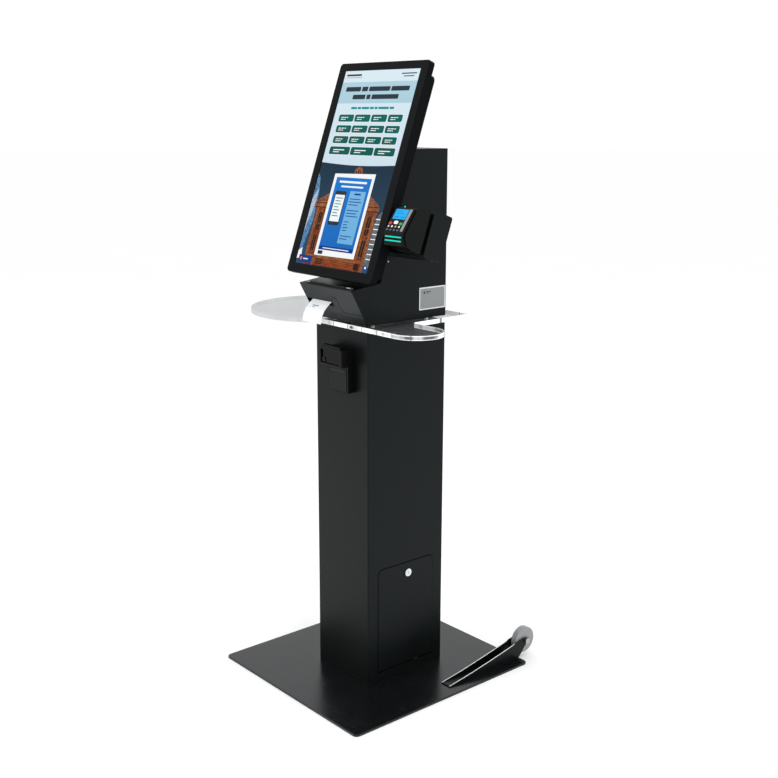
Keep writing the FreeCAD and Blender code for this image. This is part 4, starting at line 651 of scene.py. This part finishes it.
# painted highlight: near-white rods along the folded top edges of the wheel carriers stand for the glint on the steel
top_edge = [(40.0, 9.0), (118.0, 20.0), (197.0, 34.0), (279.0, 50.0), (300.0, 55.2)]
for side, sgn in (("right", 1), ("left", -1)):
    for tag, x in (("inner", sgn * (251.5 - 15.25)), ("outer", sgn * (251.5 + 15.25))):
        tube("carrier_glint_%s_%s" % (side, tag), [(x, y, z + 0.1) for y, z in top_edge], 1.0, "painted_glint_white")
    hub = "%s_wheel" % side
    plates("wheel_cap_" + side, [disc(348.5, 52.0, 13.0, 32)], -11.5, 11.5,  "wheel_hub",
           Matrix(((0, -1, 0, sgn * 0.2515), (1, 0, 0, 0), (0, 0, 1, 0), (0, 0, 0, 1))), body=hub, bevel=0.0004)

# ------------------------------------------------------------ equipment inside
plates("pc_ports", [rrect(-80 + 22 * i, 1272.0, -64 + 22 * i, 1279.0, 1.0) for i in range(5)], -100.3, -99.9, "port_dark", BACK)
plates("pc_lamp", [disc(-50.0, 1400.0, 2.0)], -100.4, -99.9, "led_green", BACK)

# ------------------------------------------------------------ floor, light, camera
fb = bmesh.new()
fb.faces.new([fb.verts.new((55.0 * math.cos(2 * math.pi * i / 64), 55.0 * math.sin(2 * math.pi * i / 64), 0.0)) for i in range(64)])
me = bpy.data.meshes.new("floor")
fb.to_mesh(me)
fb.free()
floor = bpy.data.objects.new("floor", me)
bpy.context.scene.collection.objects.link(floor)
n = Net("floor_plain")
here = n.place()
soft = n.noise(here, 1.5, 3.0, 0.5)
n.surface(Base_Color=n.mix(soft, (0.955, 0.955, 0.955, 1.0), (0.97, 0.97, 0.97, 1.0)), Roughness=n.ranged(soft, 0.3, 0.7, 0.75, 0.85), Specular_IOR_Level=0.2)
me.materials.append(n.mat)

world = bpy.data.worlds.new("studio")
world.use_nodes = True
world.node_tree.nodes["Background"].inputs["Color"].default_value = (1.0, 1.0, 1.0, 1.0)
world.node_tree.nodes["Background"].inputs["Strength"].default_value = 1.03
bpy.context.scene.world = world


def area(name, loc, aim, size, power, colour=(1, 1, 1)):
    d = bpy.data.lights.new(name, "AREA")
    d.shape = "RECTANGLE"
    d.size, d.size_y = size
    d.energy = power
    d.color = colour
    o = bpy.data.objects.new(name, d)
    o.location = loc
    o.rotation_euler = (Vector(aim) - Vector(loc)).to_track_quat("-Z", "Y").to_euler()
    bpy.context.scene.collection.objects.link(o)


area("key", (-1.8, -2.6, 3.0), (0, 0, 0.8), (1.8, 1.8), 20)
area("fill", (3.0, -0.6, 2.4), (0, 0, 0.7), (1.5, 2.2), 12)
area("top", (0.2, 0.6, 3.4), (0, 0, 0.6), (2.4, 2.4), 20)

cam = bpy.data.cameras.new("camera")
cam.lens = 53.682
cam.sensor_width = 36.0
cam.clip_start = 0.05
cam.clip_end = 60.0
cam.dof.use_dof = False
co = bpy.data.objects.new("camera", cam)
az, el, roll = math.radians(49.246), math.radians(13.224), math.radians(0.188)
fwd = Vector((-math.sin(az) * math.cos(el), math.cos(az) * math.cos(el), -math.sin(el)))
right = Vector((math.cos(az), math.sin(az), 0))
up = right.cross(fwd)
right2 = math.cos(roll) * right + math.sin(roll) * up
up2 = -math.sin(roll) * right + math.cos(roll) * up
m = Matrix((right2, up2, -fwd)).transposed().to_4x4()
m.translation = Vector((2.3785, -2.0043, 1.5424))
co.matrix_world = m
bpy.context.scene.collection.objects.link(co)
bpy.context.scene.camera = co
bpy.context.scene.view_settings.view_transform = "Standard"
